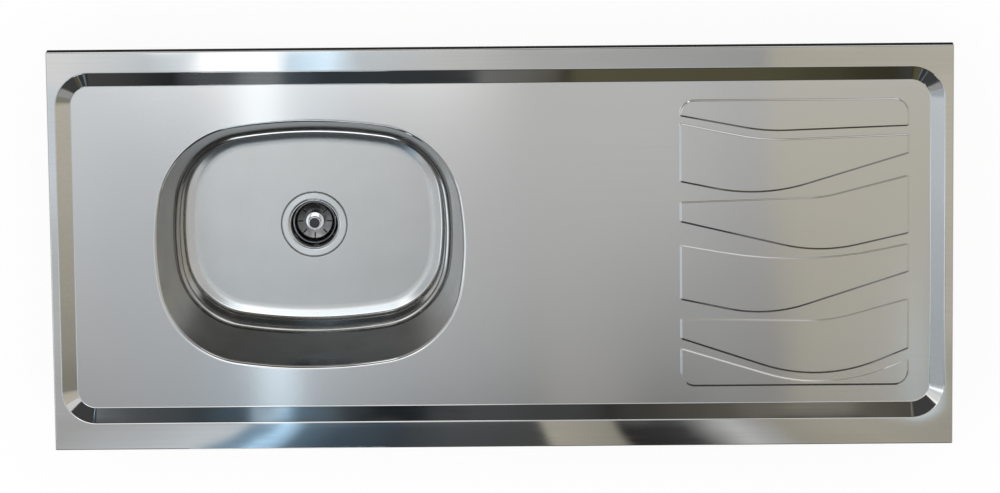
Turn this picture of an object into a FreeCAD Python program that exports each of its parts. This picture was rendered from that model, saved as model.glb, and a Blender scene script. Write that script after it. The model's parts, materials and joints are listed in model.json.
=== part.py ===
import FreeCAD, Part
import math
import os

import Sketcher

# Kitchen sink with drainboard: a pressed stainless sink top with one drawn bowl on the left,
# a wavy drainer on the right and a basket strainer waste.
# Frame: +X to the right, +Y to the rear, +Z up. The origin is the plan centre of the top, on
# the plane where its skirt and battens rest on the cabinet. Millimetres.

DIMENSIONS = {
    # sink top
    "deck_length": 1200.0,
    "deck_width": 540.0,
    "border_height": 22.0,
    "sheet": 0.8,
    "edge_bend": 1.5,
    "hem_width": 9.0,
    # sloped ring between the raised border and the sunk panel, at the border's level
    "ring_side": 589.0,
    "ring_rear": 242.0,
    "ring_front": 234.0,
    "ring_corner": 45.0,
    "basin_depth": 12.0,
    "slope_width": 19.5,
    "slope_bend": 4.0,
    # drainer relief: raised pads between wavy channels
    "drainer_left": 237.5,
    "drainer_right": 541.5,
    "drainer_rear": 197.5,
    "drainer_front": -191.5,
    "drainer_corner": 20.0,
    "pad_height": 1.5,
    "pad_slope": 2.0,
    # bowl
    "bowl_x": -255.0,
    "bowl_y": 5.5,
    "rim_half_length": 208.5,
    "rim_half_width": 170.5,
    "rim_bend": 5.0,
    "long_side_radius": 650.0,
    "short_side_radius": 365.0,
    "rim_corner_radius": 124.0,
    "collar_depth": 6.5,
    "step_depth": 93.0,
    "step_half_length": 184.5,
    "step_half_width": 139.4,
    "step_width": 6.0,
    "step_drop": 2.0,
    "heel_depth": 136.4,
    "heel_half_length": 174.3,
    "heel_half_width": 129.2,
    "heel_fillet": 9.0,
    "bowl_depth": 140.0,
    "floor_half_length": 157.0,
    "floor_half_width": 111.9,
    "floor_fillet": 50.0,
    "recess_radius": 44.5,
    "recess_depth": 2.0,
    "waste_hole_radius": 33.5,
    # basket strainer: depths are measured down from the bowl's floor
    "flange_radius": 43.5,
    "flange_sheet": 1.0,
    "flange_edge_bend": 0.8,
    "seal_inner_radius": 34.0,
    "throat_radius": 31.3,
    "throat_bend": 5.0,
    "body_wall": 1.2,
    "cup_depth": 31.0,
    "outlet_radius": 19.0,
    "hub_depth": 34.5,
    "hub_radius": 6.0,
    "hub_bore_radius": 3.3,
    "spoke_reach": 22.0,
    "spoke_width": 3.0,
    "spoke_height": 2.4,
    "spigot_radius": 23.9,
    "spigot_bore_radius": 20.0,
    "spigot_end": 56.0,
    # rings and nut that clamp the strainer under the bowl
    "clamp_bore_radius": 32.6,
    "gasket_radius": 46.0,
    "gasket_height": 3.0,
    "friction_ring_radius": 45.0,
    "friction_ring_height": 1.5,
    "lock_nut_radius": 43.0,
    "lock_nut_height": 10.0,
    "lug_reach": 49.0,
    "lug_width": 9.0,
    "rib_root": 1.5,
    # outlet tube and its nut
    "washer_height": 2.0,
    "tail_flange_radius": 23.2,
    "tail_flange_height": 2.0,
    "tail_radius": 19.05,
    "tail_wall": 1.2,
    "tail_root_radius": 19.5,
    "tail_root_end": 66.0,
    "tail_end": 118.0,
    "nut_radius": 29.0,
    "nut_bore_radius": 24.0,
    "nut_top": 44.0,
    "nut_bottom": 64.0,
    "nut_lip_radius": 19.7,
    "nut_rib_reach": 31.0,
    "nut_rib_width": 4.0,
    "nut_rib_inset": 1.0,
    # lift-out basket
    "basket_rim_depth": 15.0,
    "basket_rim_radius": 28.9,
    "basket_rim_lip": 0.9,
    "basket_rim_height": 1.2,
    "basket_floor_depth": 22.5,
    "basket_floor_radius": 24.5,
    "basket_floor_bend": 1.5,
    "basket_dish": 4.0,
    "basket_sheet": 0.7,
    "slot_inner": 15.8,
    "slot_outer": 23.0,
    "slot_width": 1.8,
    # knob on the basket
    "knob_base_radius": 11.9,
    "knob_base_depth": 24.78,
    "knob_foot_height": 1.2,
    "knob_stem_radius": 9.2,
    "knob_waist_radius": 8.9,
    "knob_waist_depth": 12.2,
    "knob_crest_radius": 8.6,
    "knob_top_depth": 9.0,
    "knob_dish_radius": 7.2,
    "knob_dish_depth": 13.2,
    "knob_bend": 0.7,
    "knob_sheet": 0.5,
    "insert_radius": 7.1,
    "insert_height": 2.0,
    # post through the basket, and the rubber stopper on it
    "post_radius": 3.0,
    "post_clearance": 0.05,
    "post_head_radius": 4.8,
    "post_head_height": 1.0,
    "post_end": 42.0,
    "post_point_radius": 2.0,
    "post_point_height": 1.5,
    "stopper_radius": 22.0,
    "stopper_rim_height": 1.8,
    "stopper_height": 2.6,
    "stopper_top_radius": 20.0,
    "stopper_neck_radius": 6.6,
    "stopper_neck_depth": 27.24,
    "stopper_seat_gap": 0.4,
    "stopper_washer_radius": 12.0,
    "stopper_washer_height": 0.8,
    "post_nut_radius": 5.2,
    "post_nut_height": 2.0,
    # timber battens and damping pads
    "long_batten_gap": 1.5,
    "end_batten_outer": 564.0,
    "batten_width": 30.0,
    "centre_batten_width": 40.0,
    "drainer_pad_height": 2.0,
    "drainer_pad_left": 70.0,
    "drainer_pad_right": 520.0,
    "drainer_pad_inner": 30.0,
    "drainer_pad_outer": 195.0,
    "bowl_pad_half_length": 125.0,
    "bowl_pad_half_width": 85.0,
    "bowl_pad_corner": 40.0,
    "bowl_pad_hole_radius": 58.0,
    "bowl_pad_height": 3.0,
    # fixing brackets and their wood screws
    "bracket_reach": 580.0,
    "bracket_inner": 538.0,
    "bracket_place": 170.0,
    "bracket_width": 30.0,
    "bracket_drop": 42.0,
    "bracket_sheet": 2.0,
    "bracket_bend": 3.0,
    "bracket_hole_radius": 2.6,
    "bracket_hole_depth": 26.0,
    "screw_near": 545.0,
    "screw_far": 557.0,
    "screw_hole_radius": 2.0,
    "screw_radius": 1.7,
    "screw_length": 6.0,
    "screw_head_radius": 3.6,
    "screw_crown_radius": 2.2,
    "screw_head_height": 2.0,
}

# Wavy edges of the channels, from the rear to the front. Each runs straight from the drainer's
# left end to its valley and straight on to the right end, and a round joins the two runs.
WAVES = {
    "wave_a_rear": {"left": 175.5, "valley_x": 351.0, "valley_y": 153.5, "right": 159.8, "radius": 250.0},
    "wave_a_front": {"left": 166.5, "valley_x": 350.0, "valley_y": 143.0, "right": 149.5, "radius": 300.0},
    "wave_b_rear": {"left": 86.7, "valley_x": 346.0, "valley_y": 64.0, "right": 123.0, "radius": 250.0},
    "wave_b_front": {"left": 60.0, "valley_x": 428.0, "valley_y": 65.5, "right": 94.5, "radius": 150.0},
    "wave_c_rear": {"left": 32.5, "valley_x": 423.5, "valley_y": -12.0, "right": 14.7, "radius": 217.0},
    "wave_c_front": {"left": 2.2, "valley_x": 400.0, "valley_y": -27.5, "right": 2.0, "radius": 560.0},
    "wave_d_rear": {"left": -73.0, "valley_x": 354.0, "valley_y": -98.0, "right": -37.5, "radius": 200.0},
    "wave_d_front": {"left": -98.5, "valley_x": 436.0, "valley_y": -102.0, "right": -72.8, "radius": 200.0},
    "wave_e_rear": {"left": -126.5, "valley_x": 424.5, "valley_y": -189.5, "right": -142.0, "radius": 220.0},
    "wave_e_front": {"left": -138.5, "valley_x": 433.0, "valley_y": -199.0, "right": -155.3, "radius": 240.0},
}
CHANNELS = ["wave_a", "wave_b", "wave_c", "wave_d", "wave_e"]

SLOT_COUNT = 8
SPOKE_COUNT = 3
LUG_COUNT = 6
NUT_RIB_COUNT = 12
TOLERANCE = 0.01

# Levels that many sizes start from
PANEL = "(Dims.border_height - Dims.basin_depth)"
FLOOR = f"({PANEL} - Dims.bowl_depth)"

doc = FreeCAD.newDocument("kitchen_sink")
nodes = []


# ---------------------------------------------------------------- driving sheet

def make_sheet():
    """One row per driving size: its name, and its value under that name as alias."""
    sheet = doc.addObject("Spreadsheet::Sheet", "Dims")
    sizes = dict(DIMENSIONS)
    for wave, parts in WAVES.items():
        for part, size in parts.items():
            sizes[f"{wave}_{part}"] = size
    for row, (alias, size) in enumerate(sizes.items(), start=1):
        sheet.set(f"A{row}", alias)
        sheet.set(f"B{row}", str(size))
        sheet.setAlias(f"B{row}", alias)
    doc.recompute()
    return sheet


dims = make_sheet()


def size(expression):
    """The number that an expression over the sheet's cells gives."""
    found = dims.evalExpression(expression)
    return float(getattr(found, "Value", found))


# ---------------------------------------------------------------- sketches

def new_body(name, x="0", y="0", z="0"):
    body = doc.addObject("PartDesign::Body", name)
    for axis, expression in zip("xyz", (x, y, z)):
        body.setExpression(f"Placement.Base.{axis}", expression)
    return body


def new_sketch(body, name, role="XY_Plane", lift="0", x="0", y="0"):
    """A sketch on one of the body's own planes, moved along that plane's normal by lift."""
    sketch = body.newObject("Sketcher::SketchObject", name)
    plane = next(item for item in body.Origin.OriginFeatures if item.Role == role)
    sketch.AttachmentSupport = (plane, "")
    sketch.MapMode = "FlatFace"
    for axis, expression in zip("xyz", (x, y, lift)):
        sketch.setExpression(f"AttachmentOffset.Base.{axis}", expression)
    return sketch


def drive(sketch, kind, *places, by):
    """A driving size on the sketch, bound to an expression over the sheet."""
    index = sketch.addConstraint(Sketcher.Constraint(kind, *places, size(by)))
    sketch.setExpression(f"Constraints[{index}]", by)


def put_point(sketch, edge, end, x, y):
    """Fix one end of an edge at a place given by two expressions."""
    for kind, axis, by in (("DistanceX", -2, x), ("DistanceY", -1, y)):
        if abs(size(by)) < TOLERANCE:
            sketch.addConstraint(Sketcher.Constraint("PointOnObject", edge, end, axis))
        else:
            drive(sketch, kind, -1, 1, edge, end, by=by)


def draw_polygon(sketch, corners):
    """A closed outline of straight edges through the corners, each a pair of expressions."""
    places = [FreeCAD.Vector(size(x), size(y), 0) for x, y in corners]
    count = len(corners)
    first = sketch.GeometryCount
    for i in range(count):
        sketch.addGeometry(Part.LineSegment(places[i], places[(i + 1) % count]))
    sketch.addConstraint([
        Sketcher.Constraint("Coincident", first + i, 2, first + (i + 1) % count, 1)
        for i in range(count)
    ])
    for i, (x, y) in enumerate(corners):
        put_point(sketch, first + i, 1, x, y)


def draw_circle(sketch, radius, x="0", y="0"):
    centre = FreeCAD.Vector(size(x), size(y), 0)
    edge = sketch.addGeometry(Part.Circle(centre, FreeCAD.Vector(0, 0, 1), size(radius)))
    put_point(sketch, edge, 3, x, y)
    drive(sketch, "Radius", edge, by=radius)


def draw_rectangle(sketch, left, right, front, rear):
    draw_polygon(sketch, [(left, front), (right, front), (right, rear), (left, rear)])


def draw_rounded_rectangle(sketch, left, right, front, rear, radius):
    """Four straight sides joined by tangent corner arcs, drawn anticlockwise."""
    x0, x1, y0, y1, r = (size(item) for item in (left, right, front, rear, radius))
    spot = FreeCAD.Vector
    up = spot(0, 0, 1)
    quarter = math.pi / 2
    sides = [
        (spot(x0 + r, y0, 0), spot(x1 - r, y0, 0)),
        (spot(x1, y0 + r, 0), spot(x1, y1 - r, 0)),
        (spot(x1 - r, y1, 0), spot(x0 + r, y1, 0)),
        (spot(x0, y1 - r, 0), spot(x0, y0 + r, 0)),
    ]
    centres = [
        spot(x1 - r, y0 + r, 0),
        spot(x1 - r, y1 - r, 0),
        spot(x0 + r, y1 - r, 0),
        spot(x0 + r, y0 + r, 0),
    ]
    for i, (start, end) in enumerate(sides):
        sketch.addGeometry(Part.LineSegment(start, end))
        circle = Part.Circle(centres[i], up, r)
        sketch.addGeometry(Part.ArcOfCircle(circle, (i - 1) * quarter, i * quarter))
    sketch.addConstraint([Sketcher.Constraint("Tangent", i, 2, (i + 1) % 8, 1) for i in range(8)])
    sketch.addConstraint([
        Sketcher.Constraint("Horizontal", 0),
        Sketcher.Constraint("Vertical", 2),
        Sketcher.Constraint("Horizontal", 4),
        Sketcher.Constraint("Vertical", 6),
    ])
    for edge, kind, by in (
        (0, "DistanceY", front),
        (2, "DistanceX", right),
        (4, "DistanceY", rear),
        (6, "DistanceX", left),
    ):
        drive(sketch, kind, -1, 1, edge, 1, by=by)
    for arc in (1, 3, 5, 7):
        drive(sketch, "Radius", arc, by=radius)


def corner_centre(a, b, long_radius, short_radius, radius):
    """Centre of the arc of that radius inside both the long and the short side's arcs."""
    start = FreeCAD.Vector(0, b - long_radius, 0)
    across = FreeCAD.Vector(a - short_radius, 0, 0) - start
    gap = across.Length
    r0, r1 = long_radius - radius, short_radius - radius
    along = (r0 * r0 - r1 * r1 + gap * gap) / (2 * gap)
    aside = math.sqrt(r0 * r0 - along * along)
    across.normalize()
    return start + across * along + FreeCAD.Vector(across.y, -across.x, 0) * aside


def draw_bowl_outline(sketch, half_length, half_width, shrink):
    """Closed outline of four gently curved sides and four corner arcs, tangent all round.

    shrink takes the same amount off every radius, which keeps inner outlines parallel."""
    names = ("long_side_radius", "short_side_radius", "rim_corner_radius")
    radii = [f"(Dims.{name} - {shrink})" for name in names]
    a, b = size(half_length), size(half_width)
    long_radius, short_radius, radius = (size(item) for item in radii)
    corner = corner_centre(a, b, long_radius, short_radius, radius)
    short_turn = math.atan2(corner.y, corner.x - (a - short_radius))
    long_turn = math.atan2(corner.y - (b - long_radius), corner.x)
    spot = FreeCAD.Vector
    pi = math.pi
    arcs = [
        (spot(a - short_radius, 0, 0), short_radius, -short_turn, short_turn),
        (spot(corner.x, corner.y, 0), radius, short_turn, long_turn),
        (spot(0, b - long_radius, 0), long_radius, long_turn, pi - long_turn),
        (spot(-corner.x, corner.y, 0), radius, pi - long_turn, pi - short_turn),
        (spot(short_radius - a, 0, 0), short_radius, pi - short_turn, pi + short_turn),
        (spot(-corner.x, -corner.y, 0), radius, pi + short_turn, pi + long_turn),
        (spot(0, long_radius - b, 0), long_radius, pi + long_turn, 2 * pi - long_turn),
        (spot(corner.x, -corner.y, 0), radius, -long_turn, -short_turn),
    ]
    for centre, arc_radius, start, end in arcs:
        circle = Part.Circle(centre, spot(0, 0, 1), arc_radius)
        sketch.addGeometry(Part.ArcOfCircle(circle, start, end))
    sketch.addConstraint([Sketcher.Constraint("Tangent", i, 2, (i + 1) % 8, 1) for i in range(8)])
    put_point(sketch, 0, 3, f"{half_length} - {radii[1]}", "0")
    put_point(sketch, 2, 3, "0", f"{half_width} - {radii[0]}")
    put_point(sketch, 4, 3, f"{radii[1]} - ({half_length})", "0")
    put_point(sketch, 6, 3, "0", f"{radii[0]} - ({half_width})")
    for i in range(8):
        by = (radii[1], radii[2], radii[0], radii[2])[i % 4]
        drive(sketch, "Radius", i, by=by)


# ---------------------------------------------------------------- features

def add_feature(body, kind, name, sketch, **settings):
    feature = body.newObject(f"PartDesign::{kind}", name)
    feature.Profile = sketch
    for key, setting in settings.items():
        if isinstance(setting, str) and key not in ("Type", "SideType"):
            feature.setExpression(key, setting)
        else:
            setattr(feature, key, setting)
    sketch.Visibility = False
    doc.recompute()
    return feature


def pad(body, name, sketch, length, **settings):
    return add_feature(body, "Pad", name, sketch, Length=length, **settings)


def pocket(body, name, sketch, length=None, **settings):
    """A cut downwards from the sketch, which must take material away."""
    before = body.Shape.Volume
    if length is None:
        settings["Type"] = "ThroughAll"
    else:
        settings["Length"] = length
    feature = add_feature(body, "Pocket", name, sketch, **settings)
    if body.Shape.Volume > before - TOLERANCE:
        raise RuntimeError(f"{body.Name}.{name} cuts nothing")
    return feature


def revolve(body, name, sketch):
    return add_feature(body, "Revolution", name, sketch, ReferenceAxis=(sketch, ["V_Axis"]), Angle=360.0)


def repeat_round(body, name, feature, sketch, count):
    pattern = body.newObject("PartDesign::PolarPattern", name)
    pattern.Originals = [feature]
    pattern.Axis = (sketch, ["N_Axis"])
    pattern.Angle = 360.0
    pattern.Occurrences = count
    body.Tip = pattern
    doc.recompute()
    return pattern


def loft(body, name, sketches):
    feature = body.newObject("PartDesign::AdditiveLoft", name)
    feature.Profile = sketches[0]
    feature.Sections = sketches[1:]
    feature.Ruled = True
    for sketch in sketches:
        sketch.Visibility = False
    doc.recompute()


def shell(body, name, open_height, thickness, inwards=False):
    """Hollow the body to one thickness, open at its flat face at that height."""
    feature = body.newObject("PartDesign::Thickness", name)
    feature.Base = (feature.BaseFeature, faces_at(body.Shape, open_height))
    feature.setExpression("Value", thickness)
    feature.Reversed = inwards
    doc.recompute()


def faces_at(shape, height):
    """Names of the flat faces lying at that height."""
    return [
        f"Face{number}"
        for number, face in enumerate(shape.Faces, start=1)
        if all(abs(level - height) < TOLERANCE for level in (face.BoundBox.ZMin, face.BoundBox.ZMax))
    ]


def round_edges(body, name, picked, radius):
    feature = body.newObject("PartDesign::Fillet", name)
    feature.Base = (feature.BaseFeature, picked)
    feature.setExpression("Radius", radius)
    doc.recompute()


def round_rings(body, name, rings, radius):
    """Round a turned part's edges, each given as (radius, height over the bowl's floor)."""
    picked = []
    for ring_radius, height in rings:
        picked += edges_where(body.Shape, on_ring(ring_radius, height))
    round_edges(body, name, picked, radius)


def edges_where(shape, test):
    """Names of the edges whose ends and middle all pass the test."""
    picked = []
    for number, edge in enumerate(shape.Edges, start=1):
        middle = edge.valueAt((edge.FirstParameter + edge.LastParameter) / 2)
        places = [vertex.Point for vertex in edge.Vertexes] + [middle]
        if all(test(place) for place in places):
            picked.append(f"Edge{number}")
    return picked


def at_height(height):
    return lambda place: abs(place.z - height) < TOLERANCE


def on_ring(radius, height):
    """Test for a place on a circle round the waste's axis, at a height over the bowl's floor."""
    x, y = size("Dims.bowl_x"), size("Dims.bowl_y")
    far, level = size(radius), size(f"{FLOOR} + ({height})")
    return lambda place: (
        abs(math.hypot(place.x - x, place.y - y) - far) < TOLERANCE and abs(place.z - level) < TOLERANCE
    )


def finish(item, label):
    """Name a sub-part and put it on the list of those written out."""
    item.Label = label
    nodes.append(item)


def turned_body(label, profile):
    """A body of revolution on the waste's axis, from (radius, height over the bowl's floor)."""
    body = new_body(f"{label}_body", "Dims.bowl_x", "Dims.bowl_y", FLOOR)
    sketch = new_sketch(body, f"{label}_profile", "XZ_Plane")
    draw_polygon(sketch, profile)
    revolve(body, f"{label}_turn", sketch)
    finish(body, label)
    return body


def ring_profile(inner, outer, bottom, top):
    return [(inner, bottom), (outer, bottom), (outer, top), (inner, top)]


# ---------------------------------------------------------------- deck

def draw_wave(sketch, wave, shift="0"):
    """Straight run, round and straight run of one channel edge. Returns its three edges."""
    left = FreeCAD.Vector(size("Dims.drainer_left"), size(f"Dims.{wave}_left"), 0)
    valley = FreeCAD.Vector(size(f"Dims.{wave}_valley_x"), size(f"Dims.{wave}_valley_y"), 0)
    right = FreeCAD.Vector(size("Dims.drainer_right"), size(f"Dims.{wave}_right"), 0)
    radius = size(f"Dims.{wave}_radius")
    down = (valley - left).normalize()
    up = (right - valley).normalize()
    turn = down.getAngle(up)
    reach = radius * math.tan(turn / 2)
    start = valley - down * reach
    end = valley + up * reach
    centre = start + FreeCAD.Vector(-down.y, down.x, 0) * radius
    first = sketch.GeometryCount
    sketch.addGeometry(Part.LineSegment(left, start))
    circle = Part.Circle(centre, FreeCAD.Vector(0, 0, 1), radius)
    begin = math.atan2(start.y - centre.y, start.x - centre.x)
    sketch.addGeometry(Part.ArcOfCircle(circle, begin, begin + turn))
    sketch.addGeometry(Part.LineSegment(end, right))
    sketch.addConstraint([
        Sketcher.Constraint("Tangent", first, 2, first + 1, 1),
        Sketcher.Constraint("Tangent", first + 1, 2, first + 2, 1),
    ])
    put_point(sketch, first, 1, "Dims.drainer_left", f"Dims.{wave}_left")
    put_point(sketch, first + 2, 2, "Dims.drainer_right", f"Dims.{wave}_right")
    drive(sketch, "Radius", first + 1, by=f"Dims.{wave}_radius")
    valley_mark = sketch.addGeometry(Part.Point(valley), True)
    put_point(sketch, valley_mark, 1, f"Dims.{wave}_valley_x", f"Dims.{wave}_valley_y")
    sketch.addConstraint(Sketcher.Constraint("PointOnObject", valley_mark, 1, first))
    sketch.addConstraint(Sketcher.Constraint("PointOnObject", valley_mark, 1, first + 2))
    return first


def join_ends(sketch, edge, end, other, other_end):
    start = sketch.getPoint(edge, end)
    stop = sketch.getPoint(other, other_end)
    line = sketch.addGeometry(Part.LineSegment(start, stop))
    sketch.addConstraint([
        Sketcher.Constraint("Coincident", line, 1, edge, end),
        Sketcher.Constraint("Coincident", line, 2, other, other_end),
    ])


def draw_end_pad(sketch, wave, side, outward):
    """Pad between one channel edge and the drainer's straight rear or front side.

    outward is +1 for the rear pad and -1 for the front pad. Its two outer corners are round."""
    first = draw_wave(sketch, wave)
    left, right = size("Dims.drainer_left"), size("Dims.drainer_right")
    level, radius = size(side), size("Dims.drainer_corner")
    spot = FreeCAD.Vector
    up = spot(0, 0, 1)
    quarter = math.pi / 2
    inner = level - outward * radius
    start = sketch.GeometryCount
    sketch.addGeometry(Part.LineSegment(spot(left, size(f"Dims.{wave}_left"), 0), spot(left, inner, 0)))
    sketch.addGeometry(Part.LineSegment(spot(left + radius, level, 0), spot(right - radius, level, 0)))
    sketch.addGeometry(Part.LineSegment(spot(right, inner, 0), spot(right, size(f"Dims.{wave}_right"), 0)))
    left_circle = Part.Circle(spot(left + radius, inner, 0), up, radius)
    right_circle = Part.Circle(spot(right - radius, inner, 0), up, radius)
    if outward > 0:
        sketch.addGeometry(Part.ArcOfCircle(left_circle, quarter, 2 * quarter))
        sketch.addGeometry(Part.ArcOfCircle(right_circle, 0, quarter))
        left_ends, right_ends = (2, 1), (2, 1)
    else:
        sketch.addGeometry(Part.ArcOfCircle(left_circle, 2 * quarter, 3 * quarter))
        sketch.addGeometry(Part.ArcOfCircle(right_circle, 3 * quarter, 4 * quarter))
        left_ends, right_ends = (1, 2), (1, 2)
    left_arc, right_arc = start + 3, start + 4
    sketch.addConstraint([
        Sketcher.Constraint("Coincident", start, 1, first, 1),
        Sketcher.Constraint("Coincident", start + 2, 2, first + 2, 2),
        Sketcher.Constraint("Tangent", start, 2, left_arc, left_ends[0]),
        Sketcher.Constraint("Tangent", start + 1, 1, left_arc, left_ends[1]),
        Sketcher.Constraint("Tangent", start + 1, 2, right_arc, right_ends[0]),
        Sketcher.Constraint("Tangent", start + 2, 1, right_arc, right_ends[1]),
        Sketcher.Constraint("Vertical", start),
        Sketcher.Constraint("Horizontal", start + 1),
        Sketcher.Constraint("Vertical", start + 2),
    ])
    drive(sketch, "DistanceY", -1, 1, start + 1, 1, by=side)
    drive(sketch, "Radius", left_arc, by="Dims.drainer_corner")
    drive(sketch, "Radius", right_arc, by="Dims.drainer_corner")


def draw_middle_pad(sketch, rear_wave, front_wave):
    """Pad between the front edge of one channel and the rear edge of the next."""
    rear = draw_wave(sketch, rear_wave)
    front = draw_wave(sketch, front_wave)
    join_ends(sketch, rear, 1, front, 1)
    join_ends(sketch, rear + 2, 2, front + 2, 2)


def add_drainer_pads(body, level):
    """Six raised pads with sloping edges. level is the panel's height on this side."""
    slope = "atan(Dims.pad_slope / Dims.pad_height)"
    makers = [("rear", lambda sketch: draw_end_pad(sketch, "wave_a_rear", "Dims.drainer_rear", 1))]
    for here, beyond in zip(CHANNELS, CHANNELS[1:]):
        makers.append((
            f"after_{here}",
            lambda sketch, a=here, b=beyond: draw_middle_pad(sketch, f"{a}_front", f"{b}_rear"),
        ))
    makers.append(("front", lambda sketch: draw_end_pad(sketch, "wave_e_front", "Dims.drainer_front", -1)))
    for name, draw in makers:
        sketch = new_sketch(body, f"{body.Name}_pad_{name}_outline", lift=level)
        draw(sketch)
        pad(body, f"{body.Name}_pad_{name}", sketch, "Dims.pad_height", TaperAngle=f"-({slope})")


RIM_LENGTH = "(Dims.rim_half_length - Dims.rim_bend)"
RIM_WIDTH = "(Dims.rim_half_width - Dims.rim_bend)"


def pressed_form(name, drop):
    """Solid under one face of the pressed sheet, up to the drainer pads.

    drop is how far that face lies inside the sheet's upper face: nothing, or one thickness."""
    body = new_body(name)
    top = f"(Dims.border_height - {drop})"
    panel = f"({top} - Dims.basin_depth)"
    slope = "atan(Dims.slope_width / Dims.basin_depth)"
    aside = f"{drop} * tan((90 deg - {slope}) / 2)"
    plan = new_sketch(body, f"{name}_plan", lift=drop)
    half_length = f"(Dims.deck_length / 2 - {drop})"
    half_width = f"(Dims.deck_width / 2 - {drop})"
    draw_rectangle(plan, f"-{half_length}", half_length, f"-{half_width}", half_width)
    pad(body, f"{name}_block", plan, f"{top} - {drop}")
    bends = edges_where(body.Shape, lambda place: place.z > size(drop) + TOLERANCE)
    bends += edges_where(body.Shape, is_corner_edge(half_length, half_width))
    round_edges(body, f"{name}_outer_bend", bends, f"Dims.edge_bend - {drop}")
    ring = new_sketch(body, f"{name}_ring", lift=top)
    draw_rounded_rectangle(
        ring,
        f"-(Dims.ring_side + {aside})",
        f"Dims.ring_side + {aside}",
        f"-(Dims.ring_front + {aside})",
        f"Dims.ring_rear + {aside}",
        f"Dims.ring_corner + {aside}",
    )
    pocket(body, f"{name}_basin", ring, "Dims.basin_depth", TaperAngle=f"-({slope})")
    reach = size("Dims.ring_side") + 1.0
    ring_top = edges_where(
        body.Shape,
        lambda place: abs(place.z - size(top)) < TOLERANCE and abs(place.x) < reach
        and abs(place.y) < size("Dims.ring_rear") + 1.0,
    )
    round_edges(body, f"{name}_slope_top_bend", ring_top, f"Dims.slope_bend - {drop}")
    ring_foot = edges_where(body.Shape, at_height(size(panel)))
    round_edges(body, f"{name}_slope_foot_bend", ring_foot, f"Dims.slope_bend - Dims.sheet + {drop}")
    add_drainer_pads(body, panel)
    return body, panel


def is_corner_edge(half_length, half_width):
    """Test for the four upright edges at the plan's corners."""
    x, y = size(half_length), size(half_width)
    return lambda place: abs(abs(place.x) - x) < TOLERANCE and abs(abs(place.y) - y) < TOLERANCE


def round_hole_rim(body, name, height, radius):
    """Round the bowl hole's edge where the panel turns down into the collar."""
    x, y = size("Dims.bowl_x"), size("Dims.bowl_y")
    a, b = size("Dims.rim_half_length"), size("Dims.rim_half_width")
    rim = edges_where(
        body.Shape,
        lambda place: abs(place.z - height) < TOLERANCE and abs(place.x - x) < a and abs(place.y - y) < b,
    )
    round_edges(body, name, rim, radius)


def make_deck():
    """The pressed sheet: what lies under its upper face, less what lies under its lower face."""
    upper, panel = pressed_form("deck_upper", "0")
    hole = new_sketch(upper, "bowl_hole", lift=panel, x="Dims.bowl_x", y="Dims.bowl_y")
    draw_bowl_outline(hole, RIM_LENGTH, RIM_WIDTH, "Dims.rim_bend")
    pocket(upper, "bowl_opening", hole)
    round_hole_rim(upper, "rim_bend", size(panel), "Dims.rim_bend")

    lower, panel = pressed_form("deck_lower", "Dims.sheet")
    collar = new_sketch(lower, "collar_outline", lift=panel, x="Dims.bowl_x", y="Dims.bowl_y")
    draw_bowl_outline(
        collar, f"({RIM_LENGTH} + Dims.sheet)", f"({RIM_WIDTH} + Dims.sheet)", "(Dims.rim_bend - Dims.sheet)"
    )
    pocket(lower, "collar_space", collar, "Dims.collar_depth - Dims.sheet")
    round_hole_rim(lower, "rim_inner_bend", size(panel), "Dims.rim_bend - Dims.sheet")
    hem = new_sketch(lower, "hem_opening", lift="Dims.sheet")
    half_length = "(Dims.deck_length / 2 - Dims.hem_width)"
    half_width = "(Dims.deck_width / 2 - Dims.hem_width)"
    draw_rectangle(hem, f"-{half_length}", half_length, f"-{half_width}", half_width)
    pad(lower, "hem_gap", hem, "2 * Dims.sheet", Reversed=True)

    deck = doc.addObject("Part::Cut", "deck_sheet")
    deck.Base = upper
    deck.Tool = lower
    finish(deck, "deck")


# ---------------------------------------------------------------- bowl

def bowl_levels():
    """Depth, half length and half width of the bowl's inside at each change of slope."""
    return [
        ("Dims.collar_depth", RIM_LENGTH, RIM_WIDTH),
        ("Dims.step_depth", "Dims.step_half_length", "Dims.step_half_width"),
        (
            "(Dims.step_depth + Dims.step_drop)",
            "(Dims.step_half_length - Dims.step_width)",
            "(Dims.step_half_width - Dims.step_width)",
        ),
        ("Dims.heel_depth", "Dims.heel_half_length", "Dims.heel_half_width"),
        ("Dims.bowl_depth", "Dims.floor_half_length", "Dims.floor_half_width"),
    ]


def make_bowl():
    """Drawn bowl: the space inside it, shelled outwards by one thickness and left open on top."""
    body = new_body("bowl_body", "Dims.bowl_x", "Dims.bowl_y", PANEL)
    sketches = []
    for number, (depth, half_length, half_width) in enumerate(bowl_levels()):
        sketch = new_sketch(body, f"bowl_level_{number}", lift=f"-{depth}")
        draw_bowl_outline(sketch, half_length, half_width, f"(Dims.rim_half_length - {half_length})")
        sketches.append(sketch)
    loft(body, "bowl_space", sketches)
    heel = edges_where(body.Shape, at_height(size(f"{PANEL} - Dims.heel_depth")))
    round_edges(body, "heel_bend", heel, "Dims.heel_fillet")
    foot = edges_where(body.Shape, at_height(size(FLOOR)))
    round_edges(body, "floor_bend", foot, "Dims.floor_fillet")
    recess = new_sketch(body, "recess_outline", lift="-Dims.bowl_depth")
    draw_circle(recess, "Dims.recess_radius")
    pad(body, "waste_recess", recess, "Dims.recess_depth", Reversed=True)
    shell(body, "bowl_sheet", size(f"{PANEL} - Dims.collar_depth"), "Dims.sheet")
    hole = new_sketch(body, "waste_hole_outline", lift="-Dims.bowl_depth")
    draw_circle(hole, "Dims.waste_hole_radius")
    pocket(body, "waste_hole", hole)
    finish(body, "bowl")


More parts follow.
